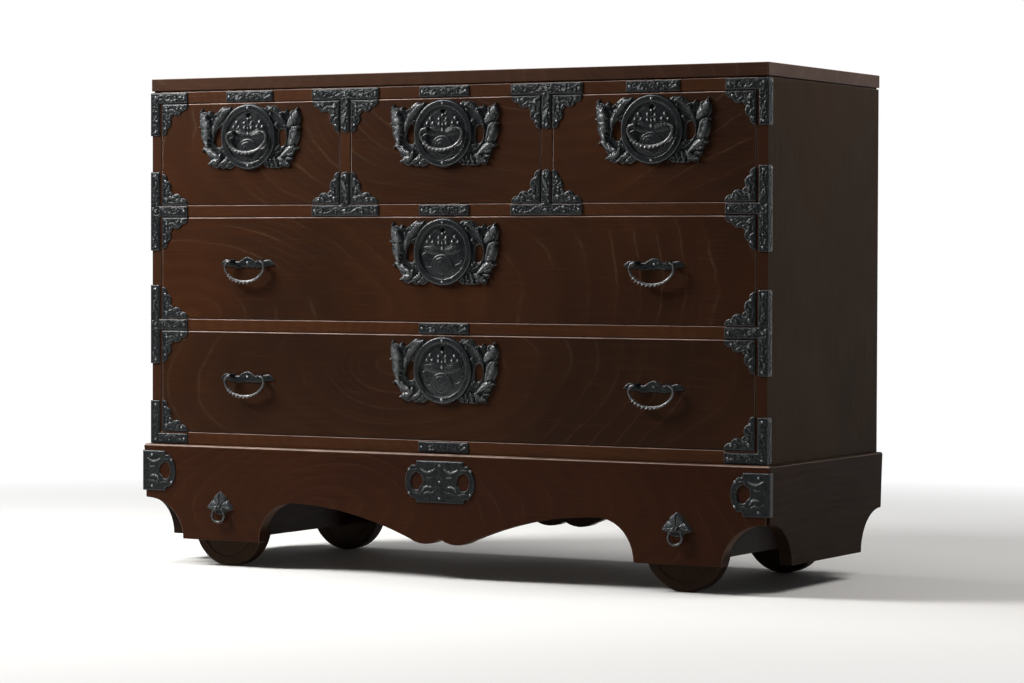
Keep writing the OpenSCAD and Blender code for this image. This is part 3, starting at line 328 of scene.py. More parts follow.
class Pieces:
    """Collects the parts of one mesh, as points (x, h, z) in millimetres on the front."""

    def __init__(self):
        self.points, self.faces, self.raised, self.count = [], [], [], 0

    def add(self, points, faces, raised, flip=False):
        for f in faces:
            self.faces.append((f[:, ::-1] if flip else f) + self.count)
        self.points.append(points)
        self.raised.append(np.full(len(points), raised) if np.isscalar(raised) else raised)
        self.count += len(points)

    def sheet(self, made, origin=(0, 0), sx=1, sz=1, base=0.0):
        """A patch on the front, mirrored by signs and moved to its origin."""
        points, faces, raised = made
        x, z = origin[0] + sx * points[:, 0], origin[1] + sz * points[:, 1]
        self.add(np.stack([x, points[:, 2] + base, z], 1), faces, raised, flip=sx * sz < 0)

    def side_sheet(self, made, side, reach, y0, z0):
        """A patch on a side panel: its first axis runs backwards from y0."""
        points, faces, raised = made
        out = np.stack([side * (reach + points[:, 2]), -(y0 + points[:, 0]), z0 + points[:, 1]], 1)
        self.add(out, faces, raised, flip=side < 0)

    def turned(self, profile, x, z, base, raised=1.0, sides=14):
        """A round form standing on the front at (x, z), from (radius, height) places."""
        ring = np.linspace(0, 2 * np.pi, sides, endpoint=False)
        rings = [np.stack([x + r * np.cos(ring), np.full(sides, base + h), z + r * np.sin(ring)], 1)
                 for r, h in profile]
        tip = [[x, base + profile[-1][1], z]]
        count = len(profile) * sides
        self.add(np.concatenate(rings + [tip]),
                 [tube(len(profile), sides), fan(count - sides, sides, count)], raised)

    def nail(self, x, z, base, r=2.3, h=1.3):
        profile = [(r, -0.4), (r, h * 0.15), (r * 0.86, h * 0.55), (r * 0.5, h * 0.88), (r * 0.18, h)]
        self.turned(profile, x, z, base, 0.85)

    def nails(self, places, origin, sx, sz, base, r=2.3, h=1.3):
        for u, v in places:
            self.nail(origin[0] + sx * u, origin[1] + sz * v, base, r, h)

    def side_nail(self, side, reach, back, z):
        """A nail in a side panel's flange."""
        head = Pieces()
        head.nail(0, 0, 0)
        points = head.points[0]
        out = np.stack([side * (reach + points[:, 1]), -(back + points[:, 0]), z + points[:, 2]], 1)
        self.add(out, head.faces, head.raised[0], flip=side < 0)

    def bar(self, path, sides=12, raised=0.4, up=(0, 1, 0)):
        """A bar through stations (point, half width across, half thickness)."""
        middles = np.array([station[0] for station in path], float)
        tangent = np.gradient(middles, axis=0)
        tangent /= np.linalg.norm(tangent, axis=1)[:, None]
        up = np.array(up, float)
        out = up - (tangent @ up)[:, None] * tangent
        out /= np.linalg.norm(out, axis=1)[:, None]
        across = np.cross(tangent, out)
        a = np.linspace(0, 2 * np.pi, sides, endpoint=False)
        rings = []
        for middle, s, o, (_, wide, thick) in zip(middles, across, out, path):
            rings.append(middle + wide * np.cos(a)[:, None] * s + thick * np.sin(a)[:, None] * o)
        tips = [middles[0] - tangent[0] * path[0][1] * 0.4, middles[-1] + tangent[-1] * path[-1][1] * 0.4]
        count = len(path) * sides
        first_end = fan(0, sides, count)[:, [1, 0, 2]]
        last_end = fan(count - sides, sides, count + 1)
        self.add(np.concatenate(rings + [tips]), [tube(len(path), sides), first_end, last_end], raised)

    def mesh(self, name, material):
        mesh = bpy.data.meshes.new(name)
        points = to_frame(np.concatenate(self.points)) - to_frame([(0, 0, 0)])
        faces = [f for f in self.faces if len(f)]
        loops = np.concatenate([f.ravel() for f in faces])
        sizes = np.concatenate([np.full(len(f), f.shape[1]) for f in faces])
        mesh.vertices.add(len(points))
        mesh.vertices.foreach_set("co", points.astype(np.float32).ravel())
        mesh.loops.add(len(loops))
        mesh.loops.foreach_set("vertex_index", loops.astype(np.int32))
        mesh.polygons.add(len(sizes))
        mesh.polygons.foreach_set("loop_start", (np.cumsum(sizes) - sizes).astype(np.int32))
        mesh.polygons.foreach_set("use_smooth", np.ones(len(sizes), bool))
        mesh.update(calc_edges=True)
        mesh.validate()
        # Each point's mark: rubbed bright places and painted highlight, or -1 for a keyhole's painted shade.
        raised = np.clip(np.concatenate(self.raised), -1, 1)
        mesh.attributes.new("raised", "FLOAT", "POINT").data.foreach_set("value", raised.astype(np.float32))
        mesh.materials.append(material)
        return mesh

    def build(self, name, body, slot, node, at=(0, 0, 0), mesh=None):
        """One piece in a node's place, made of these parts or of a mesh that is ready."""
        piece = linked(name, mesh or self.mesh(name, MATERIALS[slot]))
        piece.location = to_frame([at])[0]
        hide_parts(node)
        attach(piece, body)
        return piece


# Materials, each kept under its name

MATERIALS = {}


class Graph:
    """A node tree, with short ways to add nodes to it and to join them."""

    def __init__(self, tree):
        self.nodes = tree.nodes
        self.join = tree.links.new

    def node(self, kind, values=(), **settings):
        node = self.nodes.new(kind)
        for key, value in settings.items():
            setattr(node, key, value)
        for key, value in dict(values).items():
            node.inputs[key].default_value = value
        return node

    def feed(self, socket, value):
        """Sets an input to a number or a colour, or joins it to another node's output."""
        if isinstance(value, (int, float)):
            socket.default_value = value
        elif isinstance(value, tuple):
            socket.default_value = (*value, 1)
        else:
            self.join(value, socket)

    def coords(self, kind="Object"):
        return self.node("ShaderNodeTexCoord").outputs[kind]

    def axes(self, vector):
        node = self.node("ShaderNodeSeparateXYZ")
        self.join(vector, node.inputs[0])
        return tuple(node.outputs)

    def math(self, operation, *values):
        node = self.node("ShaderNodeMath", operation=operation)
        for socket, value in zip(node.inputs, values):
            self.feed(socket, value)
        return node.outputs[0]

    def add(self, a, b):
        return self.math("ADD", a, b)

    def sub(self, a, b):
        return self.math("SUBTRACT", a, b)

    def div(self, a, b):
        return self.math("DIVIDE", a, b)

    def most(self, a, b):
        return self.math("MAXIMUM", a, b)

    def mul(self, product, *others):
        for other in others:
            product = self.math("MULTIPLY", product, other)
        return product

    def mix(self, share, a, b):
        """Colour a where share is 0 and b where it is 1."""
        node = self.node("ShaderNodeMix", data_type="RGBA")
        inputs = {socket.identifier: socket for socket in node.inputs}
        for key, value in (("Factor_Float", share), ("A_Color", a), ("B_Color", b)):
            self.feed(inputs[key], value)
        return next(socket for socket in node.outputs if socket.identifier == "Result_Color")

    def ramp(self, value, *stops):
        """The value drawn through (place, level) stops, level beyond the first and last."""
        node = self.node("ShaderNodeValToRGB")
        elements = node.color_ramp.elements
        while len(elements) < len(stops):
            elements.new(0.5)
        for element, (place, level) in zip(elements, stops):
            element.position = place
            element.color = (level, level, level, 1)
        self.join(value, node.inputs[0])
        return node.outputs[0]

    def noise(self, vector, scale, detail, rough, distortion, seed):
        values = {"Scale": scale, "Detail": detail, "Roughness": rough, "Distortion": distortion, "W": seed}
        node = self.node("ShaderNodeTexNoise", values, noise_dimensions="4D")
        self.join(vector, node.inputs["Vector"])
        return node.outputs["Fac"]

    def stretched(self, vector, scale):
        node = self.node("ShaderNodeMapping", {"Scale": scale})
        self.join(vector, node.inputs["Vector"])
        return node.outputs["Vector"]

    def bump(self, height, strength, distance):
        node = self.node("ShaderNodeBump", {"Strength": strength, "Distance": distance})
        self.join(height, node.inputs["Height"])
        return node.outputs["Normal"]

    def surface(self, values):
        """Sets the inputs of the material's Principled shader."""
        inputs = self.nodes["Principled BSDF"].inputs
        for key, value in values.items():
            self.feed(inputs[key], value)

    def blend(self, share, first, second):
        """The first shader where share is 0 and the second where it is 1."""
        node = self.node("ShaderNodeMixShader")
        for socket, value in zip(node.inputs, (share, first, second)):
            self.join(value, socket)
        return node.outputs[0]


def new_material(name):
    material = bpy.data.materials.new(name)
    material.use_nodes = True
    MATERIALS[name] = material
    return Graph(material.node_tree)


def toned(colour, gain, lift=0.0):
    return tuple(c * gain + lift for c in colour)


def ring_field(g, coords, along, spacing, seed):
    """Growth rings of nearly even thickness: warped ovals about a heart that moves from
    one row of boards to the next, or long straight lines along an upright board."""
    x, y, z = g.axes(coords)
    warp = g.noise(g.stretched(coords, (1.0, 1.0, 1.4)), 1.9, 1.2, 0.4, 0.1, seed)
    ripple = g.noise(g.stretched(coords, (2.0, 2.0, 5.0)), 5.0, 2.0, 0.5, 0.2, seed + 1)
    bend = 0.08
    if along == "X":
        bend = 0.26
        pitch = ROW_PITCH / 1000
        foot = (BASE_TOP_Z + BOTTOM_RAIL_H + FOOT_GAP) / 1000
        row = g.math("FLOOR", g.div(g.sub(z, foot), pitch))
        turn = g.math("FRACT", g.mul(g.add(row, seed), 0.618))
        heart = g.mul(g.sub(turn, 0.5), 1.1)
        a = g.mul(g.sub(x, heart), 0.42)
        b = g.sub(g.sub(z, g.add(g.mul(row, pitch), foot)), g.mul(turn, 0.3))
    elif along == "Y":
        a, b = g.mul(y, 0.15), g.add(z, 0.3)
    else:
        a, b = g.mul(z, 0.06), g.add(g.add(x, y), 1.3)
    r = g.math("SQRT", g.add(g.mul(a, a), g.mul(b, b)))
    bent = g.add(g.add(r, g.mul(warp, bend)), g.mul(ripple, 0.009))
    return g.math("FRACT", g.div(bent, spacing))


def growth_lines(g, coords, wave, seed):
    """Thin lines of the rings that fade in and out, with three times as many in patches."""
    long_noise = g.noise(g.stretched(coords, (1.0, 1.0, 2.5)), 5.5, 2.0, 0.5, 0.3, seed + 21)
    faded = g.ramp(long_noise, (0.46, 0.0), (0.62, 1.0))
    broken = g.ramp(g.noise(coords, 75.0, 2.0, 0.5, 0.0, seed + 23), (0.35, 0.35), (0.6, 1.0))
    patches = g.ramp(g.noise(coords, 6.5, 1.5, 0.5, 0.3, seed + 27), (0.50, 0.0), (0.64, 0.45))
    main = g.ramp(wave, (0.0, 0.0), (0.03, 1.0), (0.075, 1.0), (0.12, 0.0))
    close = g.ramp(g.math("FRACT", g.mul(wave, 3.0)), (0.0, 0.0), (0.08, 1.0), (0.14, 1.0), (0.26, 0.0))
    return g.most(g.mul(main, faded, broken), g.mul(close, patches, broken))


def dusted(g, coords, colour, dust, seed):
    """Pale specks of dust in drifts."""
    speck = g.ramp(g.noise(coords, 190.0, 2.0, 0.6, 0.0, seed + 13), (0.66, 0.0), (0.74, 1.0))
    cloud = g.ramp(g.noise(coords, 7.0, 3.0, 0.6, 0.0, seed + 17), (0.45, 0.0), (0.75, 1.0))
    return g.mix(g.mul(speck, g.mul(cloud, dust)), colour, (0.25, 0.2, 0.16))


def wood(name, dark, mid, light, along, spacing, line_gain, rough, seed, edge=(0.20, 0.13, 0.115),
         arris_highlight_gain=0.95, dust=0.0, shine=0.1, facing=None, low_board_shade=0.0):
    """Lacquered or bare wood: thin growth lines that fade in and out, soft dark bands, fine
    pores along the grain, slow blotches, and a pale painted highlight in patches on the arrises
    that face upwards and sideways. Facing is another colour for the side to the front, and
    low_board_shade paints shade that darkens the bottom drawer's front."""
    g = new_material(name)
    coords = g.coords()
    normal_x, normal_y, normal_z = g.axes(g.node("ShaderNodeNewGeometry").outputs["Normal"])
    wave = ring_field(g, coords, along, spacing, seed)
    bands = g.ramp(wave, (0.0, 0.0), (0.35, 0.8), (0.80, 0.15), (1.0, 0.0))
    line = growth_lines(g, coords, wave, seed)
    fine = {"X": (9.0, 260.0, 260.0), "Y": (260.0, 9.0, 260.0), "Z": (260.0, 260.0, 9.0)}[along]
    fibre = g.noise(g.stretched(coords, fine), 1.0, 2.0, 0.6, 0.0, seed + 3)
    pores = g.ramp(fibre, (0.30, 1.0), (0.42, 0.0))
    streak = g.ramp(fibre, (0.55, 0.0), (0.75, 1.0))
    blotch = g.ramp(g.noise(coords, 3.2, 2.5, 0.55, 0.4, seed + 7), (0.34, 0.0), (0.66, 1.0))
    colour = g.mix(blotch, dark, mid)
    for mask, gain, tone in ((bands, 0.30, toned(dark, 0.5)), (line, line_gain, light),
                             (streak, 0.35, toned(mid, 1.6)), (pores, 0.35, toned(dark, 0.45))):
        colour = g.mix(g.mul(mask, gain), colour, tone)
    if low_board_shade:
        # Painted shade: the bottom drawer's front is mixed towards near-black brown.
        lower = g.ramp(g.axes(coords)[2], (0.415, low_board_shade), (0.435, 0.0))
        colour = g.mix(lower, colour, (0.010, 0.005, 0.002))
    if facing:
        colour = g.mix(g.ramp(g.mul(normal_y, -1.0), (0.8, 0.0), (0.95, 1.0)), colour, facing)
    # Painted highlight: a pale colour in patches on the arrises that face upwards and to the sides.
    up = g.ramp(normal_z, (0.15, 0.0), (0.45, 1.0), (0.93, 1.0), (0.985, 0.0))
    aside_highlight = g.ramp(g.math("ABSOLUTE", normal_x), (0.15, 0.0), (0.4, 0.55), (0.9, 0.55), (0.97, 0.0))
    patchy = g.ramp(g.noise(coords, 14.0, 3.0, 0.6, 0.0, seed + 11), (0.25, 0.35), (0.6, 1.0))
    colour = g.mix(g.mul(g.most(up, aside_highlight), patchy, arris_highlight_gain), colour, edge)
    if dust:
        colour = dusted(g, coords, colour, dust, seed)
    relief = g.sub(g.mul(line, 0.5), g.mul(pores, 0.8))
    g.surface({"Base Color": colour, "Specular IOR Level": shine, "Normal": g.bump(relief, 0.2, 0.0003),
               "Roughness": g.add(g.add(rough, g.mul(patchy, 0.08)), g.mul(pores, 0.12))})


def iron(name, dark, bright, rough, metallic, grit, seed, shine):
    """Blackened iron: fine casting grit, cloudy patina, and a pale colour by each point's mark,
    part rubbed bright on raised places and part painted highlight. A mark of -1 inside a keyhole paints it
    black and dull as shade."""
    g = new_material(name)
    coords = g.coords()
    raised = g.node("ShaderNodeAttribute", attribute_name="raised").outputs["Fac"]
    # Painted shade: a keyhole's inside is coloured near black and made dull.
    keyhole_shade = g.math("LESS_THAN", raised, -0.5)
    cloud = g.ramp(g.noise(coords, 45.0, 4.0, 0.6, 0.0, seed), (0.32, 0.0), (0.7, 1.0))
    fine = g.noise(coords, 950.0, 3.0, 0.65, 0.0, seed + 2)
    speck = g.noise(coords, 330.0, 2.0, 0.6, 0.0, seed + 6)
    # Rubbed bright on raised places, and painted highlight where the mark draws lines along borders and rims.
    rub_and_highlight_share = g.mul(g.math("POWER", g.most(raised, 0.0), 1.8), g.ramp(speck, (0.3, 0.45), (0.6, 1.0)))
    colour = g.mix(cloud, dark, toned(dark, 1.5, 0.002))
    colour = g.mix(g.ramp(speck, (0.42, 0.0), (0.66, 1.0)), colour, toned(dark, 2.6, 0.004))
    colour = g.mix(keyhole_shade, g.mix(rub_and_highlight_share, colour, bright), (0.0006, 0.0006, 0.0006))
    dull = g.add(rough, g.mul(cloud, 0.1))
    relief = g.add(speck, g.mul(fine, 0.25))
    g.surface({"Base Color": colour, "Metallic": metallic, "Specular IOR Level": shine,
               "Roughness": g.sub(dull, g.sub(g.mul(rub_and_highlight_share, 0.1), g.mul(keyhole_shade, 0.6))),
               "Normal": g.bump(relief, grit, 0.0011)})


def metal(name, colour, rough, brush, seed):
    """Plain worked metal with fine tool marks along one direction."""
    g = new_material(name)
    coords = g.coords()
    marks = g.noise(g.stretched(coords, brush), 4.0, 3.0, 0.6, 0.0, seed)
    cloud = g.noise(coords, 60.0, 3.0, 0.6, 0.0, seed + 4)
    dark = toned(colour, 0.6)
    g.surface({"Base Color": g.mix(g.mul(cloud, 0.4), g.mix(marks, dark, colour), dark), "Metallic": 0.95,
               "Roughness": g.add(rough, g.mul(cloud, 0.15)), "Normal": g.bump(marks, 0.2, 0.0002)})


# Each wood's edge colour, with its gain, is the painted highlight on its arrises.
wood("top_wood", (0.044, 0.0185, 0.0098), (0.064, 0.0270, 0.0140), (0.11, 0.070, 0.048),
     "X", 0.016, 0.30, 0.34, 2.0, edge=(0.20, 0.13, 0.10))
wood("side_wood", (0.024, 0.0143, 0.0080), (0.035, 0.0205, 0.0112), (0.050, 0.036, 0.026),
     "Z", 0.012, 0.22, 0.42, 5.0, edge=(0.10, 0.075, 0.06), shine=0.02, facing=(0.046, 0.0185, 0.0098))
wood("rail_wood", (0.048, 0.0160, 0.0052), (0.068, 0.0228, 0.0072), (0.10, 0.056, 0.034),
     "X", 0.012, 0.15, 0.34, 9.0, edge=(0.46, 0.32, 0.27))
wood("stile_wood", (0.048, 0.0160, 0.0052), (0.066, 0.0222, 0.0070), (0.10, 0.056, 0.034),
     "Z", 0.012, 0.15, 0.34, 9.5)
# front_wood's last setting paints shade over its bottom drawer's front.
wood("front_wood", (0.029, 0.0096, 0.0030), (0.053, 0.0168, 0.0050), (0.135, 0.088, 0.056),
     "X", 0.026, 0.24, 0.33, 12.0, edge=(0.52, 0.37, 0.31), low_board_shade=0.28)
wood("base_wood", (0.027, 0.0068, 0.0011), (0.045, 0.0114, 0.0020), (0.085, 0.048, 0.030),
     "X", 0.018, 0.25, 0.34, 16.0, edge=(0.44, 0.31, 0.25), dust=0.4)
wood("base_side_wood", (0.019, 0.0115, 0.0075), (0.029, 0.0170, 0.0108), (0.060, 0.044, 0.035),
     "Y", 0.014, 0.28, 0.40, 18.0, edge=(0.15, 0.11, 0.09), dust=0.3, shine=0.02)
wood("wheel_wood", (0.026, 0.0125, 0.0056), (0.048, 0.0225, 0.0100), (0.07, 0.042, 0.026),
     "Z", 0.010, 0.3, 0.40, 21.0, arris_highlight_gain=0.25)
wood("bare_wood", (0.42, 0.28, 0.16), (0.50, 0.345, 0.205), (0.34, 0.21, 0.12),
     "X", 0.036, 0.11, 0.6, 25.0, arris_highlight_gain=0.0)
iron("plate_iron", (0.0044, 0.0053, 0.0060), (0.34, 0.37, 0.39), 0.26, 0.3, 0.84, 3.0, 0.26)
iron("escutcheon_iron", (0.0054, 0.0068, 0.0078), (0.42, 0.45, 0.47), 0.24, 0.3, 0.385, 7.0, 0.5)
iron("handle_iron", (0.0070, 0.0078, 0.0084), (0.46, 0.46, 0.465), 0.20, 0.4, 0.28, 9.0, 0.6)
metal("axle_iron", (0.16, 0.155, 0.15), 0.45, (300.0, 20.0, 300.0), 2.0)
metal("lock_steel", (0.50, 0.49, 0.46), 0.35, (20.0, 300.0, 300.0), 5.0)
metal("bolt_brass", (0.60, 0.43, 0.18), 0.3, (300.0, 300.0, 20.0), 8.0)

# Wooden boards: the frame's own solids with their long arrises eased, in millimetres

EASED = {
    "top_board": 1.2, "left_side_panel": 0.8, "right_side_panel": 0.8, "front_rails": 0.9,
    "dividers": 0.9, "base_front_apron": 1.2, "base_back_apron": 1.0, "base_side_aprons": 1.2,
    "left_drawer_front": 1.8, "centre_drawer_front": 1.8, "right_drawer_front": 1.8,
    "middle_drawer_front": 1.8, "bottom_drawer_front": 1.8,
}
OWN_WOOD = {"dividers": "stile_wood", "base_side_aprons": "base_side_wood"}
SHORT_EDGE = 0.006


def body_of_node(node):
    return next(name for name, nodes in frame["record"]["behaviour"]["bodies"].items() if node in nodes)


def eased_board(node, slot, width):
    """The node's own shape with its long sharp edges rounded over."""
    source = frame["nodes"][node]
    made = bmesh.new()
    made.from_mesh(source.data)
    made.transform(source.matrix_world)
    bmesh.ops.remove_doubles(made, verts=made.verts, dist=2e-6)
    bmesh.ops.dissolve_limit(made, angle_limit=math.radians(0.5), verts=made.verts, edges=made.edges)
    made.normal_update()
    arrises = [e for e in made.edges if len(e.link_faces) == 2 and e.calc_length() > SHORT_EDGE
               and e.calc_face_angle(0) > math.radians(40)]
    bmesh.ops.bevel(made, geom=arrises, offset=width / 1000, segments=3, profile=0.5,
                    affect="EDGES", clamp_overlap=False)
    mesh = bpy.data.meshes.new(node + "_eased")
    made.to_mesh(mesh)
    made.free()
    piece = linked(node + "_eased", mesh)
    for polygon in mesh.polygons:
        polygon.use_smooth = True
    mesh.set_sharp_from_angle(angle=math.radians(38))
    weighted = piece.modifiers.new("weighted", "WEIGHTED_NORMAL")
    weighted.keep_sharp = True
    mesh.materials.append(MATERIALS[OWN_WOOD.get(node, slot)])
    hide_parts(node)
    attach(piece, body_of_node(node))


SLOTS = {entry["node"]: entry["material_slot"] for entry in frame["record"]["subparts"]}

for board, ease in EASED.items():
    eased_board(board, SLOTS[board], ease)

for node, slot in SLOTS.items():
    if node not in EASED:
        materials = frame["nodes"][node].data.materials
        materials.clear()
        materials.append(MATERIALS[slot])

# Embossed irons


def scrolls(x, z, u0, u1, mid, along="x", seed=1, amp=4.6, height=1.25):
    """Rolling leaf scrolls along a bar, no two alike, over a speckled ground."""
    a, b = (x, z) if along == "x" else (z, x)
    drift = 9 * mottle(a, 0 * b, 31.0, seed)
    first = b - mid - amp * np.sin(2 * np.pi * (a - u0 + drift) / 50 + seed)
    second = mid - b + 0.9 * amp * np.sin(2 * np.pi * (a - u0 - drift) / 37 + 2.3 * seed)
    h = np.maximum(roll(first), 0.8 * roll(second, 2.0, 0.5))
    h = h * (0.72 + 0.28 * mottle(a, b, 9.0, seed + 1))
    curls = np.clip(mottle(a, b, 4.2, seed + 2) - 0.35, 0, 1) / 0.65
    h = np.maximum(h, 0.8 * curls ** 0.6)
    ends = np.clip(np.minimum(a - u0, u1 - a) / 5, 0, 1)
    return height * h * ends + 0.5 * mottle(a, b, 2.6, seed + 3) * ends


def plate_height(d, detail, edge=0.5, top=PLATE, rim=0.0, width=2.3):
    """Plate with a broad rounded border and its embossing; its mark is rubbed bright with the embossing's
    height and has a painted highlight line along the border.
    """
    fade = np.clip((d - 1.5) / 1.6, 0, 1)
    h = bevel(d, edge, top, width) + rim * line_at(d, 2.2, 0.8) + detail * fade
    raised = np.clip((detail * fade - 0.55) / 0.75, 0, 1) ** 1.3 * 0.8
    # Painted highlight: a bright line along the rounded border.
    return h, np.maximum(raised, 0.42 * line_at(d, 0.9, 0.7))


def corner_in(x, z):
    return highest(box_in(x, z, -PLATE, IRON_ARM, 0, RAIL_BAR, 1.6),
                   box_in(x, z, -PLATE, STILE_ARM, 0, IRON_ARM, 1.6),
                   box_in(x, z, -PLATE, STILE_ARM, 0, RAIL_BAR, 0.3))


def corner_height(x, z, d):
    detail = np.where(x > z, scrolls(x, z, 6, IRON_ARM - 2, RAIL_BAR / 2, "x", 3),
                      scrolls(x, z, 6, IRON_ARM - 2, STILE_ARM / 2, "z", 5))
    return plate_height(d, detail)


def side_tee_in(x, z):
    half = SIDE_TEE_H / 2
    return highest(box_in(x, z, -PLATE, STILE_ARM, -half, half, 1.6),
                   box_in(x, z, 0, IRON_ARM, -RAIL_BAR / 2, RAIL_BAR / 2, 1.6))


def side_tee_height(x, z, d):
    half = SIDE_TEE_H / 2
    detail = np.where(x > STILE_W - 2, scrolls(x, z, 14, IRON_ARM - 2, 0, "x", 8),
                      scrolls(x, z, 2 - half, half - 2, STILE_ARM / 2, "z", 11))
    return plate_height(d, detail)


def divider_tee_in(x, z):
    """Hanging tee: its bar's top edge at z 0, its stem down to a round tip."""
    half, tip = DIVIDER_TEE_W / 2, RAIL_BAR / 2
    return highest(box_in(x, z, -half, half, -RAIL_BAR, 0, 2.4),
                   box_in(x, z, -tip, tip, -IRON_ARM + tip, 0, 0.5),
                   disc_in(x, z, 0, -IRON_ARM + tip, tip))


def divider_tee_height(x, z, d):
    half = DIVIDER_TEE_W / 2
    stem = highest(scrolls(x, z, 3 - IRON_ARM, 0, 0, "z", 14, 3.4),
                   leaf(x, z, -6, -62, 66, 24, 8, 1.4, 0.3),
                   leaf(x, z, 6.5, -44, 112, 20, 6, 1.1, 0.3))
    bar = scrolls(x, z, 2 - half, half - 2, -RAIL_BAR / 2, "x", 17)
    return plate_height(d, np.where(z < -RAIL_BAR + 2, stem, bar))


def rail_plate_in(x, z):
    half = RAIL_PLATE_LEN / 2
    return box_in(x, z, -half, half, -RAIL_BAR / 2, RAIL_BAR / 2, 1.8)


def rail_plate_height(x, z, d):
    half = RAIL_PLATE_LEN / 2
    return plate_height(d, scrolls(x, z, 3 - half, half - 3, 0, "x", 21))


def wrap_height(d, detail, rim=0.0):
    """A flange folded round the corner is rubbed less than the plate's face, and its painted highlight line
    is fainter.
    """
    h, raised = plate_height(d, detail, rim=rim)
    return h, 0.45 * raised


def wrap_patch(length):
    def outline(x, z):
        return box_in(x, z, -2.2, FLANGE, 0, length, 0.8)

    def height(x, z, d):
        d = np.where(x < 3, np.maximum(d, 1.2), d)
        return wrap_height(d, scrolls(x, z, 3, length - 3, 6.4, "z", 25, 3.0, 0.9))

    return patch(outline, height, -2.2, FLANGE, 0, length, 1.0)


def case_sheet(outline, height, x0, x1, z0, z1):
    return patch(outline, height, x0, x1, z0, z1, 0.8)


corner_sheet = case_sheet(corner_in, corner_height, -PLATE, IRON_ARM + 0.1, -0.1, IRON_ARM + 0.1)
side_tee_sheet = case_sheet(side_tee_in, side_tee_height, -PLATE, IRON_ARM + 0.1,
                            -SIDE_TEE_H / 2 - 0.1, SIDE_TEE_H / 2 + 0.1)
divider_sheet = case_sheet(divider_tee_in, divider_tee_height, -DIVIDER_TEE_W / 2 - 0.1,
                           DIVIDER_TEE_W / 2 + 0.1, -IRON_ARM - 0.1, 0.1)
rail_sheet = case_sheet(rail_plate_in, rail_plate_height, -RAIL_PLATE_LEN / 2 - 0.1,
                        RAIL_PLATE_LEN / 2 + 0.1, -RAIL_BAR / 2 - 0.1, RAIL_BAR / 2 + 0.1)


def corner_irons(made, s):
    """The corner irons and side tees at one end of the front."""
    stile, far = STILE_ARM / 2, IRON_ARM - NAIL_IN
    for edge, way in ((TOP_EDGE, -1), (LOW_EDGE, 1)):
        made.sheet(corner_sheet, (s * HALF_W, edge), -s, way)
    for edge, way in ((TOP_EDGE, -1), (LOW_EDGE, 1)):
        places = ((far, RAIL_BAR / 2), (stile, NAIL_IN), (stile, far))
        made.nails(places, (s * HALF_W, edge), -s, way, PLATE)
    for k in (1, 2):
        middle = (s * HALF_W, rail_mid(k))
        half = SIDE_TEE_H / 2 - NAIL_IN
        made.sheet(side_tee_sheet, middle, -s, 1)
        made.nails(((stile, half), (stile, 0), (stile, -half), (far, 0)), middle, -s, 1, PLATE)


def divider_irons(made, x):
    """The hanging tee at a divider's head and the standing one at its foot."""
    half, low = DIVIDER_TEE_W / 2 - NAIL_IN, -RAIL_BAR / 2
    places = ((half, low), (-half, low), (0, low), (0, NAIL_IN - IRON_ARM))
    for edge, way in ((TOP_EDGE, 1), (rail_mid(2) - RAIL_BAR / 2, -1)):
        made.sheet(divider_sheet, (x, edge), 1, way)
        made.nails(places, (x, edge), 1, way, PLATE)


def flanges(made, s):
    """The side irons' flanges on one side panel."""
    spans = [(TOP_EDGE - IRON_ARM, IRON_ARM), (LOW_EDGE, IRON_ARM)]
    spans += [(rail_mid(k) - SIDE_TEE_H / 2, SIDE_TEE_H) for k in (1, 2)]
    for z0, length in spans:
        made.side_sheet(wrap_patch(length), s, HALF_W, 0, z0)
        for v in (6, length - 6) + ((length / 2,) if length > IRON_ARM else ()):
            made.side_nail(s, HALF_W + PLATE, FLANGE_NAIL, z0 + v)


def case_irons():
    made = Pieces()
    for s in (-1, 1):
        corner_irons(made, s)
        divider_irons(made, s * SMALL_X / 2)
        flanges(made, s)
    places = [(x, rail_mid(3)) for x in (-SMALL_X, 0, SMALL_X)]
    places += [(0, rail_mid(2)), (0, rail_mid(1)), (0, BOTTOM_RAIL_H / 2)]
    half = RAIL_PLATE_LEN / 2 - NAIL_IN
    for place in places:
        made.sheet(rail_sheet, place)
        made.nails(((-half, 0), (half, 0)), place, 1, 1, PLATE)
    made.build("case_irons_embossed", "case", "plate_iron", "case_irons")


case_irons()

# Drawer corner irons, alike to both sides of their diagonal


def drawer_iron_in(x, z):
    s = DRAWER_IRON
    sides = [highest(box_in(a, b, -5, s * 0.57, -5, s * 0.29), disc_in(a, b, s * 0.57, s * 0.155, s * 0.21),
                     box_in(a, b, -5, s * 0.81, -5, s * 0.15), disc_in(a, b, s * 0.81, s * 0.02, s * 0.195),
                     disc_in(a, b, s * 0.37, s * 0.33, s * 0.065)) for a, b in ((x, z), (z, x))]
    return np.minimum(highest(*sides), np.minimum(x, z))


def drawer_iron_height(x, z, d):
    detail = leaf(x, z, 4, 4, 45, 18, 9, 1.1, 0.4, 2)
    for a, b in ((x, z), (z, x)):
        detail = highest(detail, leaf(a, b, 14, 12, 12, 20, 11, 1.2, 0.5, 3),
                         leaf(a, b, 29, 5, 24, 15, 8, 1.2, 0.4, 2), leaf(a, b, 37, 6, -8, 15, 6, 1.0, 0.4),
                         ridge(a, b, [(16, 4, 2.2), (26, 3.4, 2.6), (36, 3, 2.2)], 0.8),
                         knob(a, b, 31, 16.5, 2.3, 1.1, 0.7))
    detail = detail * (0.75 + 0.35 * mottle(x, z, 5.0, 31)) + 0.30 * mottle(x, z, 2.1, 32)
    return plate_height(d, detail, top=DRAWER_IRON_TOP, rim=0.25, width=1.8)


drawer_iron_sheet = patch(drawer_iron_in, drawer_iron_height, 0, DRAWER_IRON + 0.1, 0, DRAWER_IRON + 0.1, 0.7)

# Back plate of a wide drawer's bail: its upper and lower outline as (x, z) to one side

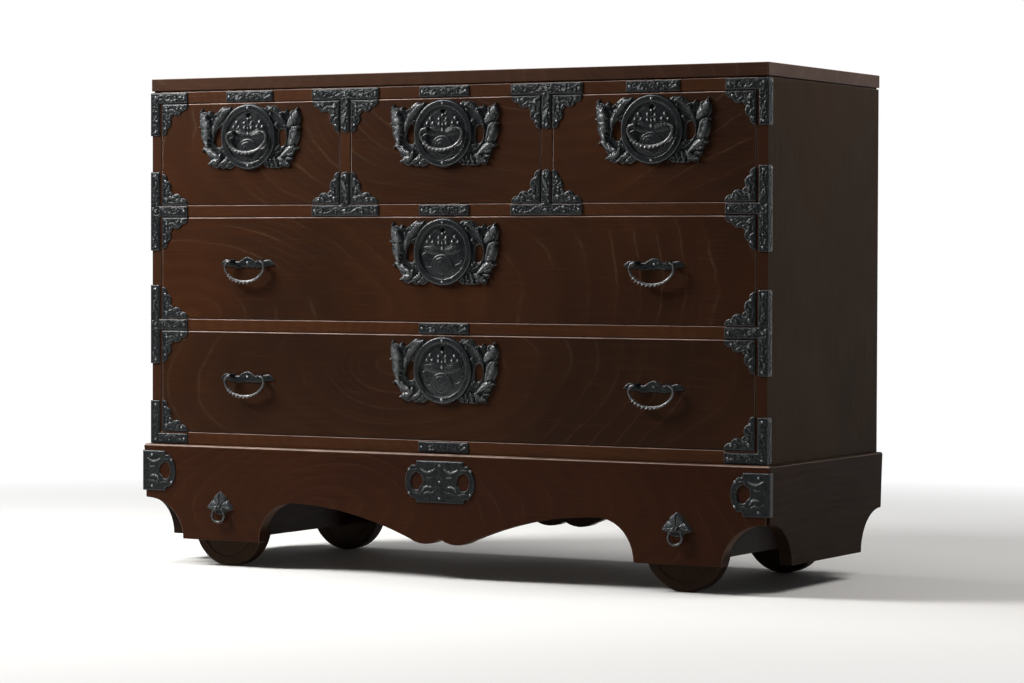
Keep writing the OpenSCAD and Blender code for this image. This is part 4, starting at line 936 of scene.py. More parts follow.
BAIL_PLATE_TOP = [(0, 8.4), (3, 8.0), (8, 6.2), (13, 3.2), (17, 0.6), (22, 0.4), (32, 1.8), (42, 4.0),
                  (47, 3.4), (51, 0.6), (56, -3.8)]
BAIL_PLATE_LOW = [(0, -10.8), (5, -9.8), (12, -11), (20, -11.6), (27, -10), (34, -9), (42, -7.6),
                  (50, -6.6), (56, -5.2)]


def bail_plate_in(x, z):
    """Around the bail's pivot line: a fan-shaped hump over two leaf wings."""
    u = np.abs(x)
    top = np.interp(u, *zip(*BAIL_PLATE_TOP)) + 0.3 * np.cos(1.5 * u) * (u < 15)
    low = np.interp(u, *zip(*BAIL_PLATE_LOW))
    return np.minimum(np.minimum(top - z, z - low) * 0.85, 56.2 - u)


def bail_plate_height(x, z, d):
    u = np.abs(x)
    angle = np.arctan2(z + 3, u + 1e-6)
    rays = 0.45 * (0.5 + 0.5 * np.cos(angle * 15)) * ((z > -1) & (u < 15))
    detail = np.maximum(rays, leaf(u, z, 16, -4, 5, 40, 10, 0.4, 0.5, 4)) + 0.2 * mottle(x, z, 2.0, 41)
    h, raised = plate_height(d, detail, top=1.8, rim=0.3, width=1.1)
    # Painted highlight: a bright line along the plate's upper edge, fading out below; the rub is weaker.
    return h, np.maximum(0.3 * raised, 0.62 * line_at(d, 0.5, 0.5) * np.clip((z + 4) / 3, 0, 1))


bail_plate_sheet = patch(bail_plate_in, bail_plate_height, -57, 57, -12.5, 10, 0.7)


def lugs(made, x, z, base):
    """Rounded posts that hold a bail's two ends."""
    for s in (-1, 1):
        made.turned([(4.6, base - 0.8), (4.0, base + 1.0), (3.4, base + 2.6), (3.4, BAIL_OUT + 1.0),
                     (2.9, BAIL_OUT + 2.6), (1.8, BAIL_OUT + 3.6), (0.7, BAIL_OUT + 4.0)],
                    x + s * LUG_X, z, 0.0, 0.12, 20)


def drawer_irons(name, middle_x, floor_z, width):
    """Four corner irons, and on a wide drawer the plates and lugs of its two bails."""
    irons = Pieces()
    half_w = width / 2 - FRONT_GAP
    for s in (-1, 1):
        for edge, way in ((floor_z + OPENING_H - FRONT_GAP, -1), (floor_z + FOOT_GAP, 1)):
            corner = (middle_x + s * half_w, edge)
            irons.sheet(drawer_iron_sheet, corner, -s, way)
            irons.nails(((11, 11), (42.3, 7.2), (7.7, 42.3)), corner, -s, way, DRAWER_IRON_TOP + 0.1, 2.1)
    if not is_small(name):
        for x in (-WIDE_BAIL_X, WIDE_BAIL_X):
            irons.sheet(bail_plate_sheet, (x, bail_z(name)))
            irons.nail(x, bail_z(name) - 1.5, 1.3)
            lugs(irons, x, bail_z(name), 1.2)
    irons.build(f"{name}_drawer_irons_embossed", f"{name}_drawer", "plate_iron", f"{name}_drawer_irons")


for name, opening in DRAWERS.items():
    drawer_irons(name, *opening)

# Round lock plates with a leaf and flower crest, and a scroll figure to each side. Each
# figure has its outline and the opening in it, its rounded bodies and sharper ridges as
# (middle line with widths, height), and its knobs and pits as (x, z, radius, height or
# depth); x runs outwards from the lock's middle

LEFT_FIGURE = {
    "outline": [(28, 46), (34, 51), (37, 54), (40, 51), (44, 51), (48, 53.5), (54, 53), (59, 50), (64, 46),
                (69, 42), (73, 40), (76, 39), (77, 43), (79, 47), (82, 46), (85, 42), (88, 44), (93, 45),
                (97, 44), (96.5, 48), (97.5, 52), (101, 48), (103.5, 44), (105, 38), (104.5, 30),
                (102.5, 22), (104, 19.5), (108, 17.6), (102, 15.6), (100.5, 13), (101.5, 7), (101.5, 1),
                (99, -5), (97, -11), (94, -15), (95, -18), (99, -22.5), (100, -24.5), (95, -23), (92, -22.5),
                (91, -26), (87, -31), (85, -36), (81, -39.5), (80, -41.5), (84, -44.5), (87, -47.5),
                (82, -49.5), (77, -50.5), (73, -53), (67, -54.5), (62, -52), (57, -54.5), (51, -56),
                (46, -53.5), (42, -56), (36, -54), (28, -48)],
    "opening": [(56, 8), (59, 14), (64, 16), (68, 12), (71.5, 4), (73, -5), (72.5, -12), (69, -17),
                (64, -18.5), (59.5, -17), (57.5, -12), (56.5, 0)],
    "bodies": [
        ([(97, 39, 10), (95, 34, 19), (92, 25, 24), (90, 13, 23), (90, 2, 20), (89, -7, 16),
          (87, -14, 9)], 4.6),
        ([(98, 51.5, 1.5), (100.5, 46, 4), (100, 40, 8)], 3.2),
        ([(107.5, 17.6, 1.4), (101, 17.4, 4.6), (95, 17, 7)], 3.6),
        ([(37, 53.5, 2.5), (40, 49, 7), (46, 47, 10), (53, 43, 14), (58, 37, 15), (63, 31, 14), (68, 24, 13),
          (72, 15, 11), (74, 6, 7)], 4.2),
        ([(50, 24, 2.2), (58, 21.4, 2.4), (65, 16, 2.6), (70.5, 7, 2.8), (74, -3, 2.8),
          (75, -12, 3.4)], 2.8),
        ([(99.5, -24, 1.4), (94, -20.5, 5), (89, -20, 8)], 3.4),
        ([(93, -19, 5), (87, -22, 12), (80, -27, 16), (74, -31, 14), (67, -33, 8)], 4.4),
        ([(86.5, -47.5, 2.5), (78, -44.5, 9), (70, -42.5, 13), (63, -38, 11), (59, -32, 6)], 4.2),
        ([(66, -53, 3), (60, -50, 6), (54, -46, 9), (47, -41, 10), (42, -37, 7)], 3.6),
        ([(51, -55, 3), (45, -51, 7), (39, -46, 9), (33, -42, 8)], 3.2),
    ],
    "ridges": [
        ([(97, 43, 2), (93, 44, 2.6), (88, 42, 2.6), (86, 37, 2.4)], 4.4),
        ([(97, 12, 3), (96.5, 4, 4.6), (95, -4, 4.6), (92, -11, 3.4)], 4.6),
        ([(99, 36, 2.6), (99, 28, 3.6), (97, 20, 2.6)], 4.4),
        ([(55, 47, 2), (60, 43, 3.4), (64, 38, 3.6), (63, 33, 3)], 5.0),
        ([(76, 33, 2), (73, 28, 3), (71, 23, 2.4)], 4.2),
        ([(86, -24, 2), (82, -28, 3.4), (80, -33, 3)], 4.6),
        ([(73, -41, 2), (69, -41, 4), (64, -40, 4)], 4.8),
        ([(58, -46, 2), (50, -43, 3), (45, -40, 2)], 4.2),
    ],
    "knobs": [(81.5, 42.5, 5.6, 4.8), (50, 52, 4, 3.6), (42, 51, 3.4, 3.0), (66, 41, 3.6, 4.0),
              (71, 39, 3, 3.2), (58, -21, 4.6, 3.6), (52.5, -25.5, 3.8, 2.8), (65, -35.5, 3.6, 4.4),
              (60, -25, 3, 2.6), (81, -46.5, 4, 3.8)],
    "pits": [(66, 36, 3.4, 1.6), (76, 34, 3.4, 1.8), (82, 16, 4, 1.2), (82, -4, 4, 1.2)],
}
RIGHT_FIGURE = {
    "outline": [(28, 46), (33, 50), (37, 53.5), (41, 54), (45, 52), (50, 53.5), (57, 52.5), (61, 48),
                (64, 44.5), (66, 42.5), (70, 43), (73, 42), (76, 44.5), (79.5, 48), (81.5, 44), (81, 39.5),
                (84, 39), (86, 42.5), (90, 44.5), (95, 43.5), (98, 46.5), (101.5, 52), (102, 45), (105, 40),
                (107, 34), (106, 28), (103.5, 22), (100, 18), (103, 18.5), (108, 18), (103.5, 13), (105, 8),
                (105, 0), (102.5, -7), (99.5, -13), (97.5, -15.5), (100, -18), (104.5, -21.5), (98, -24),
                (94.5, -25.5), (95, -29), (91, -33), (88.5, -35.5), (93.5, -38), (88, -42), (84.5, -45.5),
                (87, -49.5), (83, -51.5), (80, -55), (75, -52.5), (70, -51.5), (65, -54), (60, -55.5),
                (54, -54), (48, -55.5), (42, -53), (36, -54.5), (28, -48)],
    "opening": [(61.5, 4), (63, 10), (68, 13), (73.5, 12), (77, 6), (78, -3), (77, -10), (73, -15.5),
                (68, -18), (64, -18), (61.5, -12), (61, -4)],
    "bodies": [
        ([(102, 41, 8), (98, 37, 15), (93, 31, 18), (88, 24, 16), (84, 18, 9)], 4.6),
        ([(101.3, 51.5, 1.5), (99, 46, 4), (100, 40, 8)], 3.4),
        ([(100, 15, 8), (97, 10, 15), (94, 2, 19), (92, -6, 17), (89, -13, 11)], 4.6),
        ([(107.5, 18, 1.4), (102, 15.5, 4), (98, 15, 6)], 3.4),
        ([(94, -18, 6), (89, -20, 12), (81, -25.5, 14), (74, -31, 10), (68, -36, 5)], 4.2),
        ([(104, -21.5, 1.5), (97, -22, 5.5), (92, -23.5, 7)], 3.4),
        ([(95, -28, 3), (88, -32, 7), (82, -33, 6)], 3.2),
        ([(93, -38, 2.5), (86, -39.5, 6), (80, -39.5, 8)], 3.4),
        ([(86, -49.5, 3), (78, -47, 9), (71, -44, 13), (64, -40, 10)], 4.0),
        ([(80, -54, 2.5), (73, -50.5, 6), (66, -48, 7)], 3.2),
        ([(61, -54.5, 3), (58, -49, 8), (56, -42, 9), (54, -37, 6)], 3.6),
        ([(49, -54.5, 3), (48, -48, 8), (46, -42, 7)], 3.2),
        ([(41, -52, 4), (40, -46, 7), (37, -41, 6)], 3.0),
        ([(37, 52.5, 4), (43, 49, 9), (50, 47.5, 12), (56, 44, 11), (62, 38, 12), (68, 31, 12), (73, 23, 12),
          (77, 15, 10), (79, 6, 6)], 3.6),
        ([(79, 10, 3), (80, 0, 3), (78, -10, 2.8), (73, -19, 2.8), (66, -26, 2.6), (56, -31, 2.4)], 2.8),
    ],
    "ridges": [
        ([(101, 49, 2), (97.5, 44.5, 3.4), (92, 43.5, 3.4), (88, 41, 3), (90, 36, 3.6), (91, 31, 4.6),
          (86, 26, 5), (82.5, 21, 3.4)], 5.4),
        ([(98, 16.5, 2.6), (92, 13.5, 4.4), (88.5, 7, 5.4), (87, -1, 5.6), (85, -9, 5.4),
          (84, -15, 3.4)], 5.6),
        ([(104, 34, 1.6), (102, 27, 2.2), (96, 20, 1.8)], 3.4),
        ([(88, -20, 2.4), (82, -24, 4.6), (76, -29, 4.6), (71, -34, 2.6)], 5.0),
        ([(41, 45, 3), (46, 48.5, 4), (51, 51.5, 3)], 4.4),
        ([(64.5, 36, 2.4), (65.5, 40, 2.6), (69, 40.5, 2.4), (69.5, 36.5, 2.4), (67, 33.5, 2.4)], 4.4),
        ([(74, 40, 3), (77, 42, 3.6), (79.5, 46, 2.6)], 4.6),
        ([(66, -45, 2.6), (72, -46, 3), (79, -44, 2.4)], 4.2),
        ([(59, -38, 2), (61, -44, 2.4), (60, -50, 2)], 4.0),
        ([(50, -40, 2), (52, -45, 2.2), (50, -50, 2)], 3.6),
    ],
    "knobs": [(57, 19, 4.2, 3.6), (59, 15.5, 2.6, 2.8), (58, -22, 3.4, 3.0), (62, -18.5, 3, 2.8),
              (45, 38, 3, 2.4), (93, -26, 2.6, 3.6), (89, -33, 2.4, 3.4), (86, -40, 2.6, 3.6),
              (83, -49, 2.8, 3.6)],
    "pits": [(67, 37, 1.8, 1.8), (58, 18, 1.4, 1.6), (80, 34, 3.6, 1.6), (84, 13, 3, 1.8),
             (90, -16, 3, 1.2)],
}


def figure_in(u, z, figure):
    inside = np.full(u.shape, -50.0)
    near = (u > 20) & (u < 115)
    inside[near] = np.minimum(polygon_in(u[near], z[near], figure["outline"]),
                              -polygon_in(u[near], z[near], figure["opening"]))
    return inside


def figure_height(u, z, figure):
    h = highest(*(ridge(u, z, line, top, 0.5) for line, top in figure["bodies"]), 0)
    flutes = 0.22 * np.cos(2 * np.pi * (u + 0.5 * z + 1.5 * mottle(u, z, 11.0, 51)) / 3.1)
    h = h + flutes * np.clip(h - 1.5, 0, 1)
    h = highest(h, *(ridge(u, z, line, top, 0.8) for line, top in figure["ridges"]))
    h = highest(h, *(knob(u, z, *one, 0.6) for one in figure["knobs"]))
    for pit in figure["pits"]:
        h = h - knob(u, z, *pit, 1.0)
    lumps = 0.45 * mottle(u, z, 5.2, 53) + 0.3 * mottle(u, z, 2.6, 52)
    return np.clip(1.12 * h + lumps * np.clip(h, 0, 1), 0, 6.2)


def lock_plate_in(x, z):
    plate = highest(disc_in(x, z, 0, 0, DISC_R), figure_in(-x, z, LEFT_FIGURE), figure_in(x, z, RIGHT_FIGURE))
    return np.minimum(plate, -disc_in(x, z, 0, KEYHOLE_Z, KEYHOLE_R))


# The disc's height over its radius, up to a flat-topped rim ring
DISC_PROFILE = [(0, 5.4), (20, 5.05), (36, 4.2), (42.5, 3.6), (44.4, 3.3), (45.2, 4.2), (45.9, 6.1),
                (46.7, 6.75), (50.8, 6.95), (54.4, 6.75), (55.5, 6.1), (56.6, 4.0), (57.5, 1.6)]
# Flower buds as (x to both sides, z, radius)
BUDS = [(0, 31, 2.5), (7, 24, 2.4), (7, 15.5, 2.4), (0, 14.4, 2.0), (0, 5, 2.9), (24, 25, 2.6), (30, 17, 2.4),
        (19, 17, 2.4)]
BUD_H = 3.0
CREST_LINES = [
    [(-33, -1, 1.0), (-40, -5, 1.2), (-41, -13, 1.2), (-37, -21, 1.2), (-30, -25, 1.3), (-22, -26, 1.0)],
    [(39, -4, 1.0), (38, -13, 1.2), (33, -20, 1.2), (26, -22, 1.3), (23, -28, 1.2), (19, -35, 1.3),
     (11, -38, 1.2), (5, -41, 1.3), (-3, -41, 1.2), (-10, -38, 1.2), (-17, -35, 1.0)],
]


def crest_leaves(x, z, u, lines):
    """A veined blade to each side, leaning by 12 degrees, between the leaves' thin outlines,
    and a broad leaf with three arcs over them."""
    c, s = 0.978, 0.208
    along = (u - 20) * c + (z - 3.0) * s
    across = (z - 3.0) * c - (u - 20) * s
    blade = np.hypot(along / 18, across / 6.8)
    veins = np.cos(2 * np.pi * (across + 0.018 * along ** 2) / 2.7)
    blade_h = 1.1 * np.clip(1 - blade ** 2, 0, 1) ** 0.8 + 0.13 * veins * np.clip(3 - 3 * blade, 0, 1)
    h = np.maximum(lines, np.where(blade < 1, blade_h, 0))
    t = np.hypot((x + 1) / 21, (z + 23) / 19)
    arcs = highest(*(0.55 * line_at(t, middle, 0.035) * np.clip((reach - x) / 5, 0, 1)
                     for middle, reach in ((0.93, 60), (0.68, 4), (0.40, -1))))
    return np.where(t < 1, 1.15 * np.clip((1 - t) / 0.10, 0, 1) ** 0.6 + 0.45 * (1 - t) + arcs, h)


def crest(x, z):
    """Three broad veined leaves under three stalks of flower buds."""
    u = np.abs(x)
    lines = highest(*(ridge(x, z, line, 1.0) for line in CREST_LINES))
    stalks = highest(ridge(x, z, [(0, 2, 1.6), (0, 32, 1.2)], 1.0),
                     ridge(u, z, [(3, 4, 1.0), (16, 11, 1.0), (24, 14, 1.0), (24, 23, 1.0)], 0.5),
                     ridge(u, z, [(19, 17, 0.9), (24, 14, 1.0), (30, 17, 0.9)], 0.45),
                     ridge(u, z, [(0, 19, 0.9), (7, 22, 1.0)], 0.45))
    buds = (knob(u, 0.85 * z, bx, 0.85 * bz, r, BUD_H, 0.6) for bx, bz, r in BUDS)
    return highest(crest_leaves(x, z, u, lines), stalks, *buds)


def lock_plate_height(x, z, d):
    r = np.hypot(x, z)
    detail = np.where(r < FIELD_R, crest(x, z), 0)
    detail = detail + np.where(r < FIELD_R + 1, 0.07 * mottle(x, z, 2.1, 71), 0)
    dent = 0.7 * np.exp(-(np.clip(np.hypot(x, z - KEYHOLE_Z) - KEYHOLE_R, 0, 9) / 0.6) ** 2)
    disc_h = np.minimum(np.interp(r, *zip(*DISC_PROFILE)) + detail, 7.4) - dent
    figure = np.where(x < 0, figure_height(-x, z, LEFT_FIGURE), figure_height(x, z, RIGHT_FIGURE))
    figure_h = bevel(d, 0.8, 1.6, 1.8) + figure * (0.25 + 0.75 * np.clip(d / 2.6, 0, 1) ** 0.6)
    buds = np.clip((detail - 2.0) / 0.5, 0, 1) * (z > 3)
    # Disc marks: the crest rubbed brighter with height and the upper buds bright, partly painted highlight;
    # two painted highlight rings on the rim's shoulders.
    disc_raised = highest(np.clip(detail / BUD_H, 0, 1) ** 1.6 * 0.3, buds,
                          0.35 * line_at(r, 46.5, 0.6), 0.45 * line_at(r, 55.0, 0.7))
    # Figure marks: rubbed brighter with height, and a painted highlight line along their border.
    figure_raised = np.maximum(np.clip((figure - 2.6) / 2.8, 0, 1) ** 2 * 0.7, 0.4 * line_at(d, 0.6, 0.7))
    on_disc = r < DISC_R
    return np.where(on_disc, np.maximum(disc_h, 0), figure_h), np.where(on_disc, disc_raised, figure_raised)


lock_sheet = patch(lock_plate_in, lock_plate_height, -107, 107, -59, 60, 0.62)


def lock_plate(small):
    """The plate with its two nails and a cup behind its keyhole, painted black and dull as the keyhole's
    shade.
    """
    made = Pieces()
    made.sheet(lock_sheet)
    for s in (-1, 1):
        made.nail(0, s * DISC_NAIL, RIM_H, 2.2, 1.0)
    # Painted shade: the cup's mark of -1 colours it black.
    made.turned([(KEYHOLE_R - 0.1, 3.2), (KEYHOLE_R - 0.2, 0.3), (0.1, 0.2)], 0, KEYHOLE_Z, 0.0, -1.0, 20)
    if small:
        lugs(made, 0, DISC_BAIL_RISE, 4.6)
    return made


plate_meshes = {}
for name, (x, _, _) in DRAWERS.items():
    small = is_small(name)
    made = Pieces() if small in plate_meshes else lock_plate(small)
    piece = made.build(f"{name}_lock_plate", f"{name}_drawer", "escutcheon_iron",
                       f"{name}_drawer_escutcheon", (x, 0.0, disc_z(name)), plate_meshes.get(small))
    plate_meshes[small] = piece.data

# Bails: a D-shaped bar with a row of slanted beads under its grip


def bail_path():
    """Both ends reach into the lugs, bend down over a quarter turn and join in a half oval."""
    inner = BAIL_HALF - BAIL_BEND
    path = [(6 - inner, 0.0)]
    bend = [(BAIL_BEND * math.sin(t), BAIL_BEND * (math.cos(t) - 1))
            for t in np.radians(np.linspace(0, 72, 6))]
    path += [(-inner - out, z) for out, z in bend]
    for t in np.radians(np.linspace(180, 360, 44)):
        path.append((BAIL_HALF * math.cos(t), -BAIL_BEND + (BAIL_DROP - BAIL_BEND) * math.sin(t)))
    path += [(inner + out, z) for out, z in reversed(bend)]
    path.append((inner - 6, 0.0))
    return path


def bead(made, k):
    """One slanted bead of the row, thickest at its middle."""
    s = math.radians(214 + 11.5 * k)
    x0, z0 = BEAD_ROW_HALF * math.cos(s), -8.6 + 26.6 * math.sin(s)
    size = 0.55 + 0.45 * math.sin(math.radians(18 + 16 * k))
    made.bar([((x0 + 2.6 - 1.5 * j, 0.6 + 1.5 * math.sin(j * 0.8), z0 + 1.6 - 1.35 * j),
               size * (0.75 + 0.36 * min(j, 4 - j)), size * 1.5) for j in range(5)], 8, 0.7)


def bail_mesh():
    """The bar, the dark band under its grip and ten beads on that band."""
    made = Pieces()
    stations = []
    for x, z in bail_path():
        low = np.clip(-z / BAIL_DROP, 0, 1)
        stations.append(((x, 0.0, z), 2.0 + 0.4 * low ** 2, 2.3 + 0.5 * low))
    made.bar(stations, 14, 0.48)
    below = []
    for s in np.linspace(205, 335, 26):
        t = math.radians(s)
        thick = 0.5 + 1.1 * math.sin(math.radians((s - 202) / 136 * 180))
        below.append(((BEAD_ROW_HALF * math.cos(t), -1.0, -9.0 + 27.0 * math.sin(t)), thick, 1.6))
    made.bar(below, 10, 0.0)
    for k in range(10):
        bead(made, k)
    return made


bail_data = None
for name, (middle_x, _, _) in DRAWERS.items():
    if is_small(name):
        places = {"": (middle_x, disc_z(name) + DISC_BAIL_RISE)}
    else:
        places = {"left_": (-WIDE_BAIL_X, bail_z(name)), "right_": (WIDE_BAIL_X, bail_z(name))}
    for side, (x, z) in places.items():
        made = Pieces() if bail_data else bail_mesh()
        body = f"{name}_drawer_{side}bail"
        piece = made.build(f"{body}_beaded", body, "handle_iron", body, (x, BAIL_OUT, z), bail_data)
        bail_data = piece.data

# Base irons: the opening in each half of the middle plate, and the scrolls over it, as
# (x to both sides, z) and (line with widths, height, power)

BASE_OPENING = [(33, 1), (34, 7), (37, 11), (41, 14), (45, 15.5), (49, 15), (53, 12), (56, 7), (57, 1),
                (56, -4), (54, -10), (50, -13.5), (45, -14), (42, -13), (39, -8), (34, -4.5)]
BASE_SCROLLS = [
    ([(9, 22, 2.0), (15, 18, 3.6), (22, 16, 4.6), (29, 17.5, 4.2), (36, 21, 2.4)], 1.3, 0.8),
    ([(33, -16, 2.4), (30, -10, 4.2), (24, -8, 5.0), (16, -9, 3.0)], 1.3, 0.8),
    ([(9, -16, 2), (16, -19, 3), (24, -18, 3.4), (31, -21, 2)], 0.9, 0.7),
    ([(14, 7, 2.2), (19, 6.6, 3), (24, 7.4, 2.2)], 1.0, 0.7),
    ([(40, 19, 1.8), (46, 21, 2.8), (54, 20, 2)], 0.9, 0.7),
    ([(36, -22, 2), (43, -20, 3.2), (52, -19, 2)], 0.9, 0.7),
]


def base_plate_in(x, z):
    u, v = np.abs(x), np.abs(z)
    half = BASE_PLATE_HALF_H
    middle = np.minimum(disc_in(u, z, 30, 0, 38.0), half - v)
    inside = np.maximum(middle, box_in(x, z, -47, 47, -half, half, 3.0))
    inside = np.minimum(inside, -disc_in(u, v, 50.8, 32.5, 4.6))
    return np.minimum(inside, -polygon_in(u, z, BASE_OPENING, 1))


def base_plate_height(x, z, d):
    u = np.abs(x)
    detail = highest(*(ridge(u, z, *scroll) for scroll in BASE_SCROLLS))
    for turn in (-62, -78, -102, -118, 60, 90, 120):
        c, s = math.cos(math.radians(turn)), math.sin(math.radians(turn))
        ray = [(r * c, r * s, width) for r, width in ((4, 1.6), (11, 2.6), (17, 1.4))]
        detail = np.maximum(detail, ridge(x, z, ray, 0.5))
    detail = np.maximum(detail, 0.55 * np.clip(mottle(x, z, 7.0, 61), 0, 1)) + 0.16 * mottle(x, z, 2.4, 62)
    return plate_height(d, detail, top=2.1, rim=0.35, width=1.9)


def corner_plate_in(x, z):
    """Half a middle plate, cut off at the base's corner: x runs inwards from there."""
    return np.minimum(base_plate_in(x, z), x + 2.2)


def base_wrap_in(x, z):
    return box_in(x, z, -2, 12, -BASE_PLATE_HALF_H, BASE_PLATE_HALF_H, 0.5)


def base_wrap_height(x, z, d):
    return wrap_height(d, 0 * x, 0.4)


def ring_plate_in(x, z):
    """An ivy leaf: one broad lobe upwards and one to each side."""
    return polygon_in(np.abs(x), z, [
        (-2, 29.5), (2, 28), (6, 24.5), (11, 21.5), (14.5, 17), (13.5, 14), (17, 13.5), (21, 9), (24, 5),
        (28.5, -0.5), (23, -3.5), (15, -6), (9, -10), (4, -12), (-2, -12)])


def ring_plate_height(x, z, d):
    u = np.abs(x)
    lobes = np.maximum(leaf(x, z, 0, 4, 90, 26, 27, 4.3, 0.25), leaf(u, z, 3, 4, -9, 27, 19, 4.0, 0.25))
    upper = np.cos(2 * np.pi * (z - 0.8 * u) / 6.0)
    lower = np.cos(2 * np.pi * (u - 0.9 * np.abs(z - 3)) / 6.0)
    veins = np.where(z > 12, upper, lower)
    detail = lobes + 0.18 * veins * (lobes > 0.8) + 0.15 * mottle(x, z, 2.4, 71)
    detail = np.clip(np.maximum(detail, knob(x, z, 0, 0, 6.5, 3.0, 0.6)), 0, 4.4)
    h, raised = plate_height(d, detail, 0.8, 1.4, 0.2, 1.4)
    # Painted highlight: a bright line along the leaf plate's border; the rub is weaker.
    return h, np.maximum(raised * 0.45, 0.45 * line_at(d, 0.7, 0.8))


base_sheet = patch(base_plate_in, base_plate_height, -71, 71, -36, 36, 0.8)
corner_plate_sheet = patch(corner_plate_in, base_plate_height, -2.2, 71, -36, 36, 0.8)
base_wrap_sheet = patch(base_wrap_in, base_wrap_height, -2, 12, -BASE_PLATE_HALF_H, BASE_PLATE_HALF_H, 1.0)
ring_sheet = patch(ring_plate_in, ring_plate_height, -29, 29, -13, 30, 0.6)


def staple(made, x, z):
    """A small bent bar that holds the drop ring."""
    path = ((0, 2), (4, 4), (8, 3.6), (11, 0), (8, -3.6), (4, -4), (0, -2))
    made.bar([((x, BASE_OUT + 1.0 + out, z + rise), 1.6, 1.6) for out, rise in path], 10, 0.5, (1, 0, 0))


def base_irons():
    """The middle plate, the corner plates with their flanges, and the rings' plates."""
    made = Pieces()
    top = BASE_OUT + PLATE
    made.sheet(base_sheet, (0, BASE_PLATE_Z), base=BASE_OUT)
    places = ((0, 27.5), (0, 0), (0, -27.5), (60, 20), (60, -20), (-60, 20), (-60, -20))
    made.nails(places, (0, BASE_PLATE_Z), 1, 1, top)
    for s in (-1, 1):
        corner = (s * BASE_HALF, BASE_PLATE_Z)
        made.sheet(corner_plate_sheet, corner, -s, 1, base=BASE_OUT)
        made.nails(((18, 27.5), (18, -27.5), (60, 20), (60, -20)), corner, -s, 1, top)
        made.side_sheet(base_wrap_sheet, s, BASE_HALF, -BASE_OUT, BASE_PLATE_Z)
        made.sheet(ring_sheet, (s * AXLE_X, RING_PLATE_Z), base=BASE_OUT)
        for t in (-1, 1):
            made.nail(s * AXLE_X + t * 8.6, RING_PLATE_Z + 9.5, BASE_OUT + 1.6, 1.9, 1.1)
            staple(made, s * AXLE_X + t * 2.6, RING_PLATE_Z)
    made.build("base_irons_embossed", "case", "plate_iron", "base_irons")


base_irons()


def ring_mesh():
    """A ring that hangs from z 0, worn thicker at its foot."""
    stations = []
    for a in np.linspace(0, 2 * np.pi, 49):
        low = (1 - math.cos(a)) / 2
        place = (RING_R * math.sin(a), 0, -RING_R + RING_R * math.cos(a))
        stations.append((place, 1.9 + 0.5 * low, 1.9 + 0.3 * low))
    made = Pieces()
    made.bar(stations, 16, 0.3)
    return made


ring_data = None
for side, s in (("left", -1), ("right", 1)):
    body = f"{side}_drop_ring"
    made = Pieces() if ring_data else ring_mesh()
    place = (s * AXLE_X, RING_OUT, RING_PLATE_Z)
    piece = made.build(f"{body}_worn", body, "handle_iron", body, place, ring_data)
    ring_data = piece.data

# Floor, white surroundings, lights and camera

AWAY = (-0.487, 0.873, 0.0)
FADE_OUT = 4.0
FLOOR_HALF = 40


def along_view(g, vector):
    """How far a place or direction lies behind the chest, as the photograph sees it."""
    dot = g.node("ShaderNodeVectorMath", {1: AWAY}, operation="DOT_PRODUCT")
    g.join(vector, dot.inputs[0])
    return dot.outputs["Value"]


def seen_white(g, along):
    """Where white shows: to the camera, and behind the chest to rays that metal mirrors or
    glass lets through. Also which rays are of those kinds."""
    behind = g.ramp(g.add(g.mul(along, 0.5), 0.5), (0.55, 0.0), (0.75, 1.0))
    path = g.node("ShaderNodeLightPath").outputs
    mirrored = g.most(path["Is Glossy Ray"], path["Is Transmission Ray"])
    seen = g.most(path["Is Camera Ray"], g.mul(mirrored, behind))
    return seen, g.most(path["Is Camera Ray"], mirrored)


def floor():
    """Pale floor that takes the chest's shadow and fades to white around it, clear from below."""
    g = new_material("pale_floor")
    coords = g.coords()
    cloud = g.noise(coords, 1.5, 3.0, 0.5, 0.0, 40.0)
    away = g.node("ShaderNodeVectorMath", operation="LENGTH")
    g.join(coords, away.inputs[0])
    far = g.ramp(g.div(away.outputs["Value"], FADE_OUT), (0.28, 0.0), (0.62, 1.0))
    seen, direct = seen_white(g, g.div(along_view(g, coords), FADE_OUT))
    pale = g.mix(cloud, (0.77, 0.76, 0.74), (0.82, 0.815, 0.80))
    g.surface({"Base Color": g.mix(direct, (0.22, 0.205, 0.18), pale), "Roughness": 0.8})
    plain = g.nodes["Principled BSDF"].outputs["BSDF"]
    white = g.node("ShaderNodeEmission", {"Color": (1, 1, 1, 1), "Strength": 1.0}).outputs["Emission"]
    above = g.blend(g.mul(far, seen), plain, white)
    below = g.node("ShaderNodeBsdfTransparent").outputs["BSDF"]
    backside = g.node("ShaderNodeNewGeometry").outputs["Backfacing"]
    g.join(g.blend(backside, above, below), g.nodes["Material Output"].inputs["Surface"])
    mesh = bpy.data.meshes.new("floor")
    corners = [(x * FLOOR_HALF, y * FLOOR_HALF, 0) for x, y in ((-1, -1), (1, -1), (1, 1), (-1, 1))]
    mesh.from_pydata(corners, [], [(0, 1, 2, 3)])
    mesh.materials.append(MATERIALS["pale_floor"])
    linked("floor", mesh)


floor()


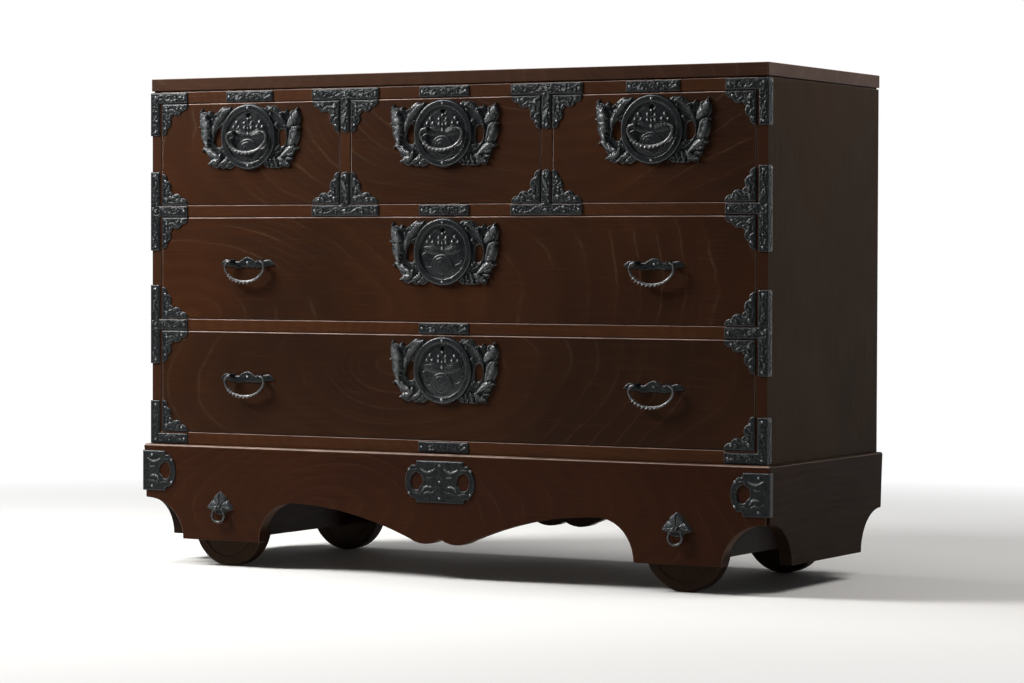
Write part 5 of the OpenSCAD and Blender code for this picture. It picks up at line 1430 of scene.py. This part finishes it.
def area_light(name, place, aim, size, power, colour):
    data = bpy.data.lights.new(name, "AREA")
    data.shape = "RECTANGLE"
    data.size, data.size_y = size
    data.energy = power
    data.color = colour
    lamp = linked(name, data)
    lamp.location = place
    lamp.rotation_euler = (Vector(aim) - Vector(place)).to_track_quat("-Z", "Y").to_euler()


area_light("key", (-1.75, -1.05, 1.85), (-0.2, -0.2, 0.55), (0.7, 0.8), 80, (1.0, 0.99, 0.97))
area_light("fill", (0.6, -4.2, 1.6), (0.1, 0, 0.45), (2.6, 1.6), 4, (1.0, 0.98, 0.95))
area_light("top", (-1.2, -0.35, 2.9), (-0.1, -0.1, 0.6), (1.8, 0.9), 50, (0.98, 0.99, 1.0))
area_light("side", (1.5, 0.1, 1.75), (0.6, 0, 0.6), (0.7, 0.8), 19, (1.0, 0.97, 0.94))


def white_world():
    """A dim even light on everything, and white where the camera looks past the chest."""
    world = bpy.data.worlds.new("studio")
    bpy.context.scene.world = world
    world.use_nodes = True
    g = Graph(world.node_tree)
    dim = g.nodes["Background"]
    dim.inputs["Color"].default_value = (0.95, 0.97, 1.0, 1)
    dim.inputs["Strength"].default_value = 0.08
    white = g.node("ShaderNodeBackground", {"Color": (1, 1, 1, 1), "Strength": 1.0})
    seen, _ = seen_white(g, along_view(g, g.coords("Generated")))
    shown = g.blend(seen, dim.outputs["Background"], white.outputs["Background"])
    g.join(shown, g.nodes["World Output"].inputs["Surface"])


white_world()

# The photograph's camera, fitted to the chest's corners: its place and axes in the frame

CAMERA_PLACE = Vector((2.80325, -4.99822, 0.54559))
CAMERA_RIGHT = Vector((0.87304, 0.48764, 0.00294))
CAMERA_UP = Vector((-0.01516, 0.02111, 0.99966))
CAMERA_AHEAD = Vector((-0.48741, 0.87279, -0.02582))

camera_data = bpy.data.cameras.new("camera")
camera_data.sensor_width = 36.0
camera_data.lens = 115.465
camera = linked("camera", camera_data)
turn = Matrix((CAMERA_RIGHT, CAMERA_UP, -CAMERA_AHEAD)).transposed()
camera.matrix_world = Matrix.Translation(CAMERA_PLACE) @ turn.to_4x4()
bpy.context.scene.camera = camera
bpy.context.scene.view_settings.view_transform = "Standard"
